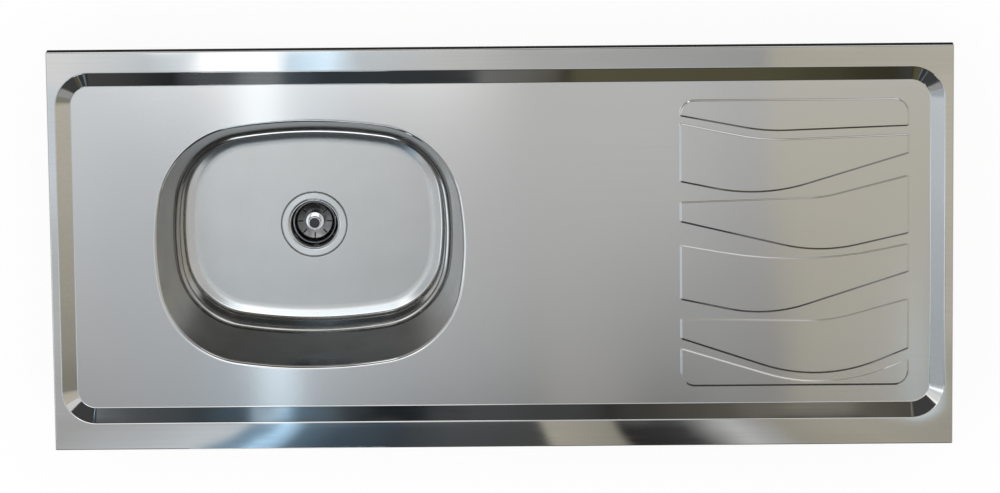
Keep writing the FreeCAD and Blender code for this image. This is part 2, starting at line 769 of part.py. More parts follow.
def make_bowl_sound_pad():
    """Damping pad glued under the bowl, round the waste."""
    body = new_body("bowl_pad_body", "Dims.bowl_x", "Dims.bowl_y", f"{FLOOR} - Dims.sheet")
    sketch = new_sketch(body, "bowl_pad_outline")
    half_length, half_width = "Dims.bowl_pad_half_length", "Dims.bowl_pad_half_width"
    draw_rounded_rectangle(
        sketch, f"-{half_length}", half_length, f"-{half_width}", half_width, "Dims.bowl_pad_corner"
    )
    draw_circle(sketch, "Dims.bowl_pad_hole_radius")
    pad(body, "bowl_pad", sketch, "Dims.bowl_pad_height", Reversed=True)
    finish(body, "bowl_sound_pad")


# ---------------------------------------------------------------- waste

WALL = "(Dims.throat_radius + Dims.body_wall)"
CUP_UNDERSIDE = "-(Dims.cup_depth + Dims.body_wall)"


def make_strainer_body():
    """Flanged cup with a rounded throat, a threaded spigot and a spoked hub in the spigot."""
    body = turned_body("strainer_body", [
        ("Dims.flange_radius", "-Dims.flange_sheet"),
        ("Dims.flange_radius", "0"),
        ("Dims.throat_radius", "0"),
        ("Dims.throat_radius", "-Dims.cup_depth"),
        ("Dims.outlet_radius", "-Dims.cup_depth"),
        ("Dims.outlet_radius", CUP_UNDERSIDE),
        ("Dims.spigot_bore_radius", CUP_UNDERSIDE),
        ("Dims.spigot_bore_radius", "-Dims.spigot_end"),
        ("Dims.spigot_radius", "-Dims.spigot_end"),
        ("Dims.spigot_radius", CUP_UNDERSIDE),
        (WALL, CUP_UNDERSIDE),
        (WALL, "-Dims.flange_sheet"),
    ])
    round_rings(body, "flange_edge", [("Dims.flange_radius", "0")], "Dims.flange_edge_bend")
    round_rings(body, "throat_edge", [("Dims.throat_radius", "0")], "Dims.throat_bend")
    corners = [("Dims.throat_radius", "-Dims.cup_depth"), (WALL, CUP_UNDERSIDE)]
    round_rings(body, "cup_corner", corners, "Dims.throat_bend")
    add_spoked_hub(body)


def add_spoked_hub(body):
    """Hub that guides the basket's post, held by spokes that end in the spigot's wall."""
    hub = new_sketch(body, "hub_outline", lift="-Dims.hub_depth")
    draw_circle(hub, "Dims.hub_radius")
    pad(body, "hub", hub, "Dims.spoke_height", Reversed=True)
    arm = new_sketch(body, "spoke_outline", lift="-Dims.hub_depth")
    half = "Dims.spoke_width / 2"
    draw_rectangle(arm, "Dims.hub_radius / 2", "Dims.spoke_reach", f"-{half}", half)
    spoke = pad(body, "spoke", arm, "Dims.spoke_height", Reversed=True)
    repeat_round(body, "spokes", spoke, arm, SPOKE_COUNT)
    bore = new_sketch(body, "hub_bore_outline", lift="-Dims.hub_depth")
    draw_circle(bore, "Dims.hub_bore_radius")
    pocket(body, "hub_bore", bore)


def add_ribs(body, name, root, reach, width, foot, height, count):
    """Equal ribs round a turned part, each starting rib_root inside its surface."""
    outline = new_sketch(body, f"{name}_outline", lift=foot)
    draw_rectangle(outline, f"{root} - Dims.rib_root", reach, f"-{width} / 2", f"{width} / 2")
    rib = pad(body, name, outline, height)
    repeat_round(body, f"{name}_ring", rib, outline, count)


def make_clamp_rings():
    """Seal above the bowl's sheet; gasket, friction ring and lock nut below it."""
    bore = "Dims.clamp_bore_radius"
    underside = "-(Dims.recess_depth + Dims.sheet)"
    gasket_foot = f"({underside} - Dims.gasket_height)"
    friction_foot = f"({gasket_foot} - Dims.friction_ring_height)"
    nut_foot = f"({friction_foot} - Dims.lock_nut_height)"
    turned_body("flange_seal", ring_profile(
        "Dims.seal_inner_radius", "Dims.flange_radius", "-Dims.recess_depth", "-Dims.flange_sheet"
    ))
    turned_body("lower_gasket", ring_profile(bore, "Dims.gasket_radius", gasket_foot, underside))
    turned_body("friction_ring", ring_profile(bore, "Dims.friction_ring_radius", friction_foot, gasket_foot))
    nut = turned_body("lock_nut", ring_profile(bore, "Dims.lock_nut_radius", nut_foot, friction_foot))
    add_ribs(
        nut,
        "lug",
        "Dims.lock_nut_radius",
        "Dims.lug_reach",
        "Dims.lug_width",
        nut_foot,
        "Dims.lock_nut_height",
        LUG_COUNT,
    )


def make_outlet():
    """Tailpiece hung from the spigot by a coupling nut, with a washer between them."""
    washer_foot = "(-Dims.spigot_end - Dims.washer_height)"
    flange_foot = f"({washer_foot} - Dims.tail_flange_height)"
    bore = "Dims.tail_radius - Dims.tail_wall"
    turned_body("tailpiece_washer", ring_profile(
        "Dims.spigot_bore_radius", "Dims.tail_flange_radius", washer_foot, "-Dims.spigot_end"
    ))
    turned_body("tailpiece", [
        (bore, "-Dims.tail_end"),
        ("Dims.tail_radius", "-Dims.tail_end"),
        ("Dims.tail_radius", "-Dims.tail_root_end"),
        ("Dims.tail_root_radius", "-Dims.tail_root_end"),
        ("Dims.tail_root_radius", flange_foot),
        ("Dims.tail_flange_radius", flange_foot),
        ("Dims.tail_flange_radius", washer_foot),
        (bore, washer_foot),
    ])
    nut = turned_body("coupling_nut", [
        ("Dims.nut_lip_radius", "-Dims.nut_bottom"),
        ("Dims.nut_radius", "-Dims.nut_bottom"),
        ("Dims.nut_radius", "-Dims.nut_top"),
        ("Dims.nut_bore_radius", "-Dims.nut_top"),
        ("Dims.nut_bore_radius", flange_foot),
        ("Dims.nut_lip_radius", flange_foot),
    ])
    add_ribs(
        nut,
        "grip",
        "Dims.nut_radius",
        "Dims.nut_rib_reach",
        "Dims.nut_rib_width",
        "-(Dims.nut_bottom - Dims.nut_rib_inset)",
        "Dims.nut_bottom - Dims.nut_top - 2 * Dims.nut_rib_inset",
        NUT_RIB_COUNT,
    )


# ---------------------------------------------------------------- basket

POST_BORE = "(Dims.post_radius + Dims.post_clearance)"
HEAD_SEAT = "-Dims.knob_dish_depth"
HEAD_TOP = "(Dims.post_head_height - Dims.knob_dish_depth)"
STOPPER_FOOT = "(Dims.stopper_seat_gap - Dims.cup_depth)"
WASHER_FOOT = f"({STOPPER_FOOT} - Dims.stopper_washer_height)"


def make_basket_cup():
    """Pressed cup with a folded rim, a dished floor and radial slots."""
    rim_inner = "(Dims.basket_rim_radius - Dims.basket_rim_lip - Dims.basket_sheet)"
    rim_outer = "(Dims.basket_rim_radius - Dims.basket_rim_lip)"
    rim_foot = "-(Dims.basket_rim_depth + Dims.basket_rim_height)"
    floor_inner = "(Dims.basket_floor_radius - Dims.basket_sheet)"
    floor_top = "-Dims.basket_floor_depth"
    floor_foot = "-(Dims.basket_floor_depth + Dims.basket_sheet)"
    dish_top = "(-Dims.basket_floor_depth - Dims.basket_dish)"
    cup = turned_body("basket_cup", [
        (rim_inner, "-Dims.basket_rim_depth"),
        ("Dims.basket_rim_radius", "-Dims.basket_rim_depth"),
        ("Dims.basket_rim_radius", rim_foot),
        (rim_outer, rim_foot),
        ("Dims.basket_floor_radius", floor_foot),
        (POST_BORE, f"{dish_top} - Dims.basket_sheet"),
        (POST_BORE, dish_top),
        (floor_inner, floor_top),
    ])
    round_rings(cup, "cup_floor_inner_bend", [(floor_inner, floor_top)], "Dims.basket_floor_bend")
    outer_bend = "Dims.basket_floor_bend + Dims.basket_sheet"
    round_rings(cup, "cup_floor_outer_bend", [("Dims.basket_floor_radius", floor_foot)], outer_bend)
    outline = new_sketch(cup, "slot_outline", lift="-Dims.basket_rim_depth")
    half = "Dims.slot_width / 2"
    draw_rectangle(outline, "Dims.slot_inner", "Dims.slot_outer", f"-{half}", half)
    slot = pocket(cup, "slot", outline)
    repeat_round(cup, "slots", slot, outline, SLOT_COUNT)


def make_basket_knob():
    """Pressed knob, hollow from below, with a dish in its top for the dark insert."""
    foot_top = "(Dims.knob_foot_height - Dims.knob_base_depth)"
    crest = ("Dims.knob_crest_radius", "-Dims.knob_top_depth")
    waist = ("Dims.knob_waist_radius", "-Dims.knob_waist_depth")
    knob = turned_body("basket_knob", [
        ("0", "-Dims.knob_base_depth"),
        ("Dims.knob_base_radius", "-Dims.knob_base_depth"),
        ("Dims.knob_base_radius", foot_top),
        ("Dims.knob_stem_radius", foot_top),
        waist,
        crest,
        ("Dims.knob_dish_radius", "-Dims.knob_top_depth"),
        ("Dims.knob_dish_radius", HEAD_SEAT),
        ("0", HEAD_SEAT),
    ])
    round_rings(knob, "knob_bends", [waist, crest], "Dims.knob_bend")
    shell(knob, "knob_sheet", size(f"{FLOOR} - Dims.knob_base_depth"), "Dims.knob_sheet", inwards=True)
    bore = new_sketch(knob, "knob_bore_outline", lift=HEAD_SEAT)
    draw_circle(bore, POST_BORE)
    pocket(knob, "knob_bore", bore)
    turned_body("knob_insert", [
        ("0", HEAD_TOP),
        ("Dims.insert_radius", HEAD_TOP),
        ("Dims.insert_radius", f"{HEAD_TOP} + Dims.insert_height"),
        ("0", f"{HEAD_TOP} + Dims.insert_height"),
    ])


def make_basket_post():
    """Headed post that holds the knob, the basket and the stopper together."""
    turned_body("basket_post", [
        ("0", "-Dims.post_end"),
        ("Dims.post_point_radius", "-Dims.post_end"),
        ("Dims.post_radius", "Dims.post_point_height - Dims.post_end"),
        ("Dims.post_radius", HEAD_SEAT),
        ("Dims.post_head_radius", HEAD_SEAT),
        ("Dims.post_head_radius", HEAD_TOP),
        ("0", HEAD_TOP),
    ])


def make_stopper():
    """Rubber stopper under the basket, with its washer and the post's nut."""
    stopper_top = f"{STOPPER_FOOT} + Dims.stopper_height"
    turned_body("basket_stopper", [
        (POST_BORE, STOPPER_FOOT),
        ("Dims.stopper_radius", STOPPER_FOOT),
        ("Dims.stopper_radius", f"{STOPPER_FOOT} + Dims.stopper_rim_height"),
        ("Dims.stopper_top_radius", stopper_top),
        ("Dims.stopper_neck_radius", stopper_top),
        ("Dims.stopper_neck_radius", "-Dims.stopper_neck_depth"),
        (POST_BORE, "-Dims.stopper_neck_depth"),
    ])
    turned_body("stopper_washer", ring_profile(
        POST_BORE, "Dims.stopper_washer_radius", WASHER_FOOT, STOPPER_FOOT
    ))
    nut = new_body("post_nut_body", "Dims.bowl_x", "Dims.bowl_y", f"{FLOOR} + {WASHER_FOOT}")
    outline = new_sketch(nut, "post_nut_outline")
    draw_polygon(outline, [
        (f"Dims.post_nut_radius * cos({turn} deg)", f"Dims.post_nut_radius * sin({turn} deg)")
        for turn in range(0, 360, 60)
    ])
    draw_circle(outline, POST_BORE)
    pad(nut, "post_nut_block", outline, "Dims.post_nut_height", Reversed=True)
    finish(nut, "post_nut")


# ---------------------------------------------------------------- battens, damping pads, brackets

def make_block(label, left, right, front, rear, bottom, top):
    block = doc.addObject("Part::Box", f"{label}_block")
    block.setExpression("Length", f"{right} - ({left})")
    block.setExpression("Width", f"{rear} - ({front})")
    block.setExpression("Height", f"{top} - ({bottom})")
    for axis, expression in zip("xyz", (left, front, bottom)):
        block.setExpression(f"Placement.Base.{axis}", expression)
    finish(block, label)


def make_battens():
    """Timber frame inside the skirt: long battens under the border, short ones under the panel."""
    inside_x = "(Dims.deck_length / 2 - Dims.hem_width)"
    inside_y = "(Dims.deck_width / 2 - Dims.hem_width)"
    under_border = "(Dims.border_height - Dims.sheet)"
    under_panel = f"({PANEL} - Dims.sheet)"
    rear_face = "(Dims.ring_rear + Dims.long_batten_gap)"
    front_face = "-(Dims.ring_front + Dims.long_batten_gap)"
    make_block("rear_batten", f"-{inside_x}", inside_x, rear_face, inside_y, "0", under_border)
    make_block("front_batten", f"-{inside_x}", inside_x, f"-{inside_y}", front_face, "0", under_border)
    outer = "Dims.end_batten_outer"
    inner = f"({outer} - Dims.batten_width)"
    make_block("left_end_batten", f"-{outer}", f"-{inner}", front_face, rear_face, "0", under_panel)
    make_block("right_end_batten", inner, outer, front_face, rear_face, "0", under_panel)
    half = "(Dims.centre_batten_width / 2)"
    make_block("centre_batten", f"-{half}", half, front_face, rear_face, "0", under_panel)
    make_block("drainboard_batten", half, inner, f"-{half}", half, "0", under_panel)


def make_drainboard_pads():
    """Two damping pads glued under the drainboard, either side of its batten."""
    top = f"({PANEL} - Dims.sheet)"
    foot = f"({top} - Dims.drainer_pad_height)"
    left, right = "Dims.drainer_pad_left", "Dims.drainer_pad_right"
    inner, outer = "Dims.drainer_pad_inner", "Dims.drainer_pad_outer"
    make_block("drainboard_pad_rear", left, right, inner, outer, foot, top)
    make_block("drainboard_pad_front", left, right, f"-{outer}", f"-{inner}", foot, top)


def make_bracket(label, side, place):
    """Angle bracket under an end batten. side is -1 on the left and +1 on the right."""
    body = new_body(f"{label}_body", y=place)
    reach = f"({side} * Dims.bracket_reach)"
    inner = f"({side} * Dims.bracket_inner)"
    leg = f"({side} * (Dims.bracket_reach - Dims.bracket_sheet))"
    profile = new_sketch(body, f"{label}_profile", "XZ_Plane")
    draw_polygon(profile, [
        (reach, "0"),
        (inner, "0"),
        (inner, "-Dims.bracket_sheet"),
        (leg, "-Dims.bracket_sheet"),
        (leg, "-Dims.bracket_drop"),
        (reach, "-Dims.bracket_drop"),
    ])
    pad(body, f"{label}_angle", profile, "Dims.bracket_width", SideType="Symmetric")
    for name, x, z, bend in (
        ("outer", size(reach), 0.0, "Dims.bracket_bend"),
        ("inner", size(leg), -size("Dims.bracket_sheet"), "Dims.bracket_bend - Dims.bracket_sheet"),
    ):
        picked = edges_where(
            body.Shape, lambda spot: abs(spot.z - z) < TOLERANCE and abs(spot.x - x) < TOLERANCE
        )
        round_edges(body, f"{label}_{name}_bend", picked, bend)
    holes = new_sketch(body, f"{label}_screw_holes")
    for spot in ("Dims.screw_near", "Dims.screw_far"):
        draw_circle(holes, "Dims.screw_hole_radius", x=f"{side} * {spot}")
    pocket(body, f"{label}_screw_bores", holes, "Dims.bracket_sheet")
    side_hole = new_sketch(body, f"{label}_side_hole", "YZ_Plane", lift=reach)
    draw_circle(side_hole, "Dims.bracket_hole_radius", y="-Dims.bracket_hole_depth")
    pocket(body, f"{label}_side_bore", side_hole, "Dims.bracket_sheet", Reversed=side < 0)
    finish(body, label)


def make_screw(name, x, y):
    """Wood screw driven up through a bracket into its batten."""
    foot = "-(Dims.bracket_sheet + Dims.screw_head_height)"
    head = doc.addObject("Part::Cone", f"{name}_head")
    head.setExpression("Radius1", "Dims.screw_crown_radius")
    head.setExpression("Radius2", "Dims.screw_head_radius")
    head.setExpression("Height", "Dims.screw_head_height")
    shank = doc.addObject("Part::Cylinder", f"{name}_shank")
    shank.setExpression("Radius", "Dims.screw_radius")
    shank.setExpression("Height", "Dims.screw_head_height + Dims.bracket_sheet + Dims.screw_length")
    for piece in (head, shank):
        for axis, expression in zip("xyz", (x, y, foot)):
            piece.setExpression(f"Placement.Base.{axis}", expression)
    screw = doc.addObject("Part::Fuse", name)
    screw.Base = head
    screw.Tool = shank
    return screw


def make_brackets():
    screws = []
    for side_name, side in (("left", -1), ("right", 1)):
        for end_name, place in (("front", "-Dims.bracket_place"), ("rear", "Dims.bracket_place")):
            make_bracket(f"bracket_{side_name}_{end_name}", side, place)
            for spot in ("screw_near", "screw_far"):
                name = f"{spot}_{side_name}_{end_name}"
                screws.append(make_screw(name, f"{side} * Dims.{spot}", place))
    group = doc.addObject("Part::Compound", "bracket_screw_group")
    group.Links = screws
    finish(group, "bracket_screws")


# ---------------------------------------------------------------- build and write out

def check_document():
    """Stop on any failed object or unusable sub-part."""
    doc.recompute()
    for item in doc.Objects:
        if "Invalid" in item.State or "Error" in item.State:
            raise RuntimeError(f"{item.Name} failed: {item.State}")
    for item in nodes:
        if item.Shape.isNull() or not item.Shape.isValid() or not item.Shape.Solids:
            raise RuntimeError(f"{item.Label} has no valid solid")


def write_parts():
    os.makedirs("parts", exist_ok=True)
    for item in nodes:
        item.Shape.exportStep(os.path.join("parts", f"{item.Label}.step"))
        print(f"{item.Label}: {len(item.Shape.Solids)} solid(s), {item.Shape.Volume / 1000:.1f} cm3")


make_deck()
make_bowl()
make_bowl_sound_pad()
make_strainer_body()
make_clamp_rings()
make_outlet()
make_basket_cup()
make_basket_knob()
make_basket_post()
make_stopper()
make_battens()
make_drainboard_pads()
make_brackets()
check_document()
write_parts()
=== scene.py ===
import json
import math

import bpy
import numpy as np
from mathutils import Matrix, Vector, geometry


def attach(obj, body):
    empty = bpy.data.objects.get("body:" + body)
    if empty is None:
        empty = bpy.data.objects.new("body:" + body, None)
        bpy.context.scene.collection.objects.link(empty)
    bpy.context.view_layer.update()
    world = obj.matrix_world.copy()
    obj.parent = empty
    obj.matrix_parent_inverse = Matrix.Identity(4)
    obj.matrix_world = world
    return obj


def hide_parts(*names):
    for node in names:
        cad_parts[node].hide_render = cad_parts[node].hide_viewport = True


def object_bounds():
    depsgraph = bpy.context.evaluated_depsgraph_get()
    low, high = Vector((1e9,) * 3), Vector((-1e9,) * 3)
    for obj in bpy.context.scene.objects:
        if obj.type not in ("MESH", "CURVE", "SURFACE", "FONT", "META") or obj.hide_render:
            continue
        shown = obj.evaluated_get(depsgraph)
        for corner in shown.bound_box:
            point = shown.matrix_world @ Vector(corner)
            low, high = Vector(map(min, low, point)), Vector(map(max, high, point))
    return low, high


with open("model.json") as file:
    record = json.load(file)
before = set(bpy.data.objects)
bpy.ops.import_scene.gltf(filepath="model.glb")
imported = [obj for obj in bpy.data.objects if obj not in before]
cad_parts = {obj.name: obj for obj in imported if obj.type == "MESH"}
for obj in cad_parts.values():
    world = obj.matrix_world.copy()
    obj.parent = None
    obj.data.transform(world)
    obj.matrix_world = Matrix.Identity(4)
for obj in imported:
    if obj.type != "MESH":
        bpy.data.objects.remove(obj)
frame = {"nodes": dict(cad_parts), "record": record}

# Looks of the kitchen sink with drainboard. Sizes below are in millimetres, as on a drawing, and
# go into the meshes in metres. The sink top lies in the frame's XY plane with its face at BORDER.
MM = 0.001
CAD_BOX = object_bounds()

SHEET = 0.8
HALF_LENGTH = 600.0
HALF_WIDTH = 270.0
BORDER = 22.0
EDGE_BEND = 1.5
CORNER_BEND = 1.6
HEM = 9.0

RING_SIDE = 589.0
RING_REAR = 242.0
RING_FRONT = -234.0
RING_CORNER = 45.0
BASIN_DEPTH = 12.0
PANEL = BORDER - BASIN_DEPTH
SLOPE_WIDTH = 19.5
SLOPE_TOP_BEND = 4.0
SLOPE_FOOT_BEND = 3.2

DRAINER_LEFT = 237.5
DRAINER_RIGHT = 541.5
DRAINER_REAR = 197.5
DRAINER_FRONT = -191.5
DRAINER_CORNER = 19.5
PAD_HEIGHT = 1.5
PAD_SLOPE = 2.0
PAD_BEND = 1.4
PAD_CORNER = 2.6
# left y, valley x, valley y, right y and radius of each channel edge, rear to front
WAVES = [
    ((175.5, 351.0, 153.5, 159.8, 250.0), (166.5, 350.0, 143.0, 149.5, 300.0)),
    ((86.7, 346.0, 64.0, 123.0, 250.0), (60.0, 428.0, 65.5, 94.5, 150.0)),
    ((32.5, 423.5, -12.0, 14.7, 217.0), (2.2, 400.0, -27.5, 2.0, 560.0)),
    ((-73.0, 354.0, -98.0, -37.5, 200.0), (-98.5, 436.0, -102.0, -72.8, 200.0)),
    ((-126.5, 424.5, -189.5, -142.0, 220.0), (-138.5, 433.0, -199.0, -155.3, 240.0)),
]

BOWL = np.array([-255.0, 5.5])
RIM_LENGTH = 208.5
RIM_WIDTH = 170.5
RIM_BEND = 5.0
LONG_RADIUS = 650.0
SHORT_RADIUS = 365.0
CORNER_RADIUS = 124.0
# points along each side and corner of the bowl's outline
SHORT_STEPS = 40
CORNER_STEPS = 36
LONG_STEPS = 48
COLLAR = 6.5
# part of a quarter turn by which the rim's normals lean over, to meet the bowl's leaning wall
RIM_LEAN = 0.82
BOWL_DEPTH = 140.0
FLOOR = PANEL - BOWL_DEPTH
RECESS_RADIUS = 44.5
RECESS_DEPTH = 2.0
WASTE_HOLE_RADIUS = 33.5

# height off the bowl's floor, in metres, over which its finish turns polished, and over which painted shade
# then darkens its walls
HEEL_POLISH = (0.0002, 0.0012)
PAINTED_WALL_SHADE = (0.006, 0.012)
# in the recess, below the floor, the polish and the painted shade come on this many times sooner than above
# it
RECESS_RATE = 8.0
SATIN_ROUGHNESS = 0.33
HEEL_ROUGHNESS = 0.12
# colour of the bowl's steel, and a darker copy of it that paints shade on its walls and recess
BOWL_BRIGHT = ((0.69, 0.69, 0.675), (0.72, 0.72, 0.705))
BOWL_PAINTED_SHADE = ((0.35, 0.35, 0.345), (0.42, 0.42, 0.41))
BOWL_MOTTLE = 25.0
BOWL_WAVE = 12.0
BOWL_WAVE_DEPTH = 0.0004
WOOD_GRAIN = (6.0, 90.0, 90.0)
WOOD_BANDS = (1.5, 22.0, 30.0)
BAND_SHARE = 0.6
WOOD_DULL = 0.75
WOOD_SHEEN = 0.55
WOOD_DEPTH = 0.0006
MOULDED_SPREAD = 0.08
# where a mottle's dark and light colours lie on its noise
DARK_END = 0.3
LIGHT_END = 0.7

ARC_STEP = math.radians(3.0)
INSIDE = 1
WELD = 1e-5
QUARTER = math.pi / 2


# ---------------------------------------------------------------- sheet meshes

class Sheet:
    """A pressed sheet: its upper face as points with normals, and the lower face one thickness in."""

    def __init__(self):
        self.points = []
        self.normals = []
        self.faces = []
        self.slots = []

    def ring(self, points, normals):
        """Add a row of points, and give back their numbers."""
        first = len(self.points)
        self.points += [tuple(p) for p in points]
        self.normals += [tuple(n) for n in normals]
        return list(range(first, len(self.points)))

    def bridge(self, outer, inner, slot):
        """Quads between two closed rows of the same length, seen anticlockwise from above."""
        count = len(outer)
        for i in range(count):
            j = (i + 1) % count
            self.faces.append((outer[i], outer[j], inner[j], inner[i]))
            self.slots.append(slot)

    def fill(self, outer, holes, slot, flip=False):
        """Flat face inside the row outer, less the rows in holes. All rows run anticlockwise."""
        loops = [outer] + holes
        spots = [Vector(self.points[i][:2]) for loop in loops for i in loop]
        numbers = [i for loop in loops for i in loop]
        shapes = []
        start = 0
        for loop in loops:
            shapes.append(list(range(start, start + len(loop))))
            start += len(loop)
        found = geometry.delaunay_2d_cdt(spots, [], shapes, INSIDE, WELD)
        source = [numbers[origin[0]] for origin in found[3]]
        for face, inside in zip(found[2], found[5]):
            if inside != [0]:
                continue
            corners = [source[k] for k in face]
            self.faces.append(tuple(reversed(corners)) if flip else tuple(corners))
            self.slots.append(slot)

    def sweep(self, outline, profile, slots):
        """Carry a profile round a closed outline. Gives back the first and the last row.

        outline is (points, inward directions) in plan. profile rows are (inward distance, height,
        inward part and upward part of the normal). slots has one entry for each strip."""
        plan, inward = outline
        rows = []
        for distance, height, across, up in profile:
            places = plan + inward * distance
            rows.append(self.ring(
                [(x, y, height) for x, y in places],
                [(across * x, across * y, up) for x, y in inward],
            ))
        for i, (outer, inner) in enumerate(zip(rows, rows[1:])):
            self.bridge(outer, inner, slots[i] if isinstance(slots, (list, tuple)) else slots)
        return rows[0], rows[-1]

    def build(self, name, materials, thickness=SHEET):
        """Mesh object with both faces of the sheet and its cut edges."""
        top = np.array(self.points)
        normal = np.array(self.normals)
        normal /= np.linalg.norm(normal, axis=1)[:, None]
        count = len(top)
        verts = np.vstack([top, top - normal * thickness]) * MM
        seen = {}
        for face in self.faces:
            for i in range(len(face)):
                edge = (face[i], face[(i + 1) % len(face)])
                seen[edge] = True
        rims = [edge for edge in seen if (edge[1], edge[0]) not in seen]
        lower = [tuple(i + count for i in reversed(face)) for face in self.faces]
        cut = [(b, a, a + count, b + count) for a, b in rims]
        faces = self.faces + lower + cut
        mesh = bpy.data.meshes.new(name)
        mesh.from_pydata(verts.tolist(), [], faces)
        slots = self.slots + self.slots + [0] * len(cut)
        mesh.polygons.foreach_set("material_index", slots)
        mesh.polygons.foreach_set("use_smooth", [True] * (2 * len(self.faces)) + [False] * len(cut))
        both = np.vstack([normal, -normal])
        loop_normals = []
        for number, polygon in enumerate(mesh.polygons):
            if number < 2 * len(self.faces):
                loop_normals += [both[v] for v in polygon.vertices]
            else:
                loop_normals += [polygon.normal] * len(polygon.vertices)
        mesh.normals_split_custom_set(loop_normals)
        for material in materials:
            mesh.materials.append(material)
        piece = bpy.data.objects.new(name, mesh)
        bpy.context.scene.collection.objects.link(piece)
        return piece


def arc_profile(start, turn, radius, centre, steps=8):
    """Profile rows along a bend: angles run from start by turn, measured from straight up inwards."""
    rows = []
    for i in range(steps + 1):
        angle = start + turn * i / steps
        across, up = math.sin(angle), math.cos(angle)
        rows.append((centre[0] + radius * across, centre[1] + radius * up, across, up))
    return rows


# ---------------------------------------------------------------- outlines

def rounded_rectangle(left, right, front, rear, radius):
    """Closed outline, anticlockwise from above, with its inward directions."""
    places, inward = [], []
    steps = max(4, round(QUARTER / ARC_STEP))
    for x, y, start in (
        (right - radius, front + radius, -QUARTER),
        (right - radius, rear - radius, 0.0),
        (left + radius, rear - radius, QUARTER),
        (left + radius, front + radius, math.pi),
    ):
        for i in range(steps + 1):
            angle = start + QUARTER * i / steps
            way = (math.cos(angle), math.sin(angle))
            places.append((x + radius * way[0], y + radius * way[1]))
            inward.append((-way[0], -way[1]))
    return np.array(places), np.array(inward)


def bowl_outline(half_length, half_width, shrink):
    """The bowl's plan shape: four gently curved sides and four corners, tangent all round."""
    long_radius = LONG_RADIUS - shrink
    short_radius = SHORT_RADIUS - shrink
    radius = CORNER_RADIUS - shrink
    top = np.array([0.0, half_width - long_radius])
    side = np.array([half_length - short_radius, 0.0])
    across = side - top
    gap = np.linalg.norm(across)
    along = ((long_radius - radius) ** 2 - (short_radius - radius) ** 2 + gap * gap) / (2 * gap)
    aside = math.sqrt((long_radius - radius) ** 2 - along * along)
    across /= gap
    corner = top + across * along + np.array([across[1], -across[0]]) * aside
    short_turn = math.atan2(corner[1], corner[0] - side[0])
    long_turn = math.atan2(corner[1] - top[1], corner[0])
    pi = math.pi
    arcs = [
        ((side[0], 0.0), short_radius, -short_turn, short_turn, SHORT_STEPS),
        ((corner[0], corner[1]), radius, short_turn, long_turn, CORNER_STEPS),
        ((0.0, top[1]), long_radius, long_turn, pi - long_turn, LONG_STEPS),
        ((-corner[0], corner[1]), radius, pi - long_turn, pi - short_turn, CORNER_STEPS),
        ((-side[0], 0.0), short_radius, pi - short_turn, pi + short_turn, SHORT_STEPS),
        ((-corner[0], -corner[1]), radius, pi + short_turn, pi + long_turn, CORNER_STEPS),
        ((0.0, -top[1]), long_radius, pi + long_turn, 2 * pi - long_turn, LONG_STEPS),
        ((corner[0], -corner[1]), radius, -long_turn, -short_turn, CORNER_STEPS),
    ]
    places, inward = [], []
    for (x, y), arc_radius, start, end, steps in arcs:
        for i in range(steps):
            angle = start + (end - start) * i / steps
            way = (math.cos(angle), math.sin(angle))
            places.append((BOWL[0] + x + arc_radius * way[0], BOWL[1] + y + arc_radius * way[1]))
            inward.append((-way[0], -way[1]))
    return np.array(places), np.array(inward)


def wave_line(wave):
    """Corner points of one channel edge, left to right, each with the radius that rounds it."""
    left, valley_x, valley_y, right, radius = wave
    return [
        (DRAINER_LEFT, left, PAD_CORNER),
        (valley_x, valley_y, radius),
        (DRAINER_RIGHT, right, PAD_CORNER),
    ]


def rounded_outline(corners):
    """Closed outline through straight runs and tangent arcs. corners are (x, y, radius), anticlockwise."""
    places, inward = [], []
    count = len(corners)
    for i in range(count):
        spot = np.array(corners[i][:2])
        before = np.array(corners[i - 1][:2]) - spot
        after = np.array(corners[(i + 1) % count][:2]) - spot
        before /= np.linalg.norm(before)
        after /= np.linalg.norm(after)
        radius = corners[i][2]
        turn = math.pi - math.acos(max(-1.0, min(1.0, float(before @ after))))
        left_turn = (-before[0]) * after[1] - (-before[1]) * after[0] > 0
        side = 1.0 if left_turn else -1.0
        reach = radius * math.tan(turn / 2)
        start = spot + before * reach
        inside = np.array([before[1], -before[0]]) * side
        centre = start + inside * radius
        begin = math.atan2(start[1] - centre[1], start[0] - centre[0])
        steps = max(3, round(turn / ARC_STEP))
        for k in range(steps + 1):
            angle = begin + side * turn * k / steps
            way = np.array([math.cos(angle), math.sin(angle)])
            places.append(centre + radius * way)
            inward.append(-way * side)
    return np.array(places), np.array(inward)


def pad_outlines():
    """Plan outlines of the six raised pads, from the rear one to the front one."""
    rear = [(DRAINER_RIGHT, DRAINER_REAR, DRAINER_CORNER), (DRAINER_LEFT, DRAINER_REAR, DRAINER_CORNER)]
    front = [(DRAINER_RIGHT, DRAINER_FRONT, DRAINER_CORNER), (DRAINER_LEFT, DRAINER_FRONT, DRAINER_CORNER)]
    pads = [wave_line(WAVES[0][0]) + rear]
    for (_, upper), (lower, _) in zip(WAVES, WAVES[1:]):
        pads.append(wave_line(lower) + wave_line(upper)[::-1])
    pads.append([front[1], front[0]] + wave_line(WAVES[-1][1])[::-1])
    return [rounded_outline(pad) for pad in pads]


# ---------------------------------------------------------------- materials

def new_material(name):
    material = bpy.data.materials.new(name)
    material.use_nodes = True
    tree = material.node_tree
    return material, tree, tree.nodes["Principled BSDF"]


def add_node(tree, kind, settings=None, inputs=None):
    """New node with its settings and the values or links of its inputs."""
    node = tree.nodes.new("ShaderNode" + kind)
    for key, value in (settings or {}).items():
        setattr(node, key, value)
    for key, value in (inputs or {}).items():
        if isinstance(value, bpy.types.NodeSocket):
            tree.links.new(value, node.inputs[key])
        else:
            node.inputs[key].default_value = value
    return node


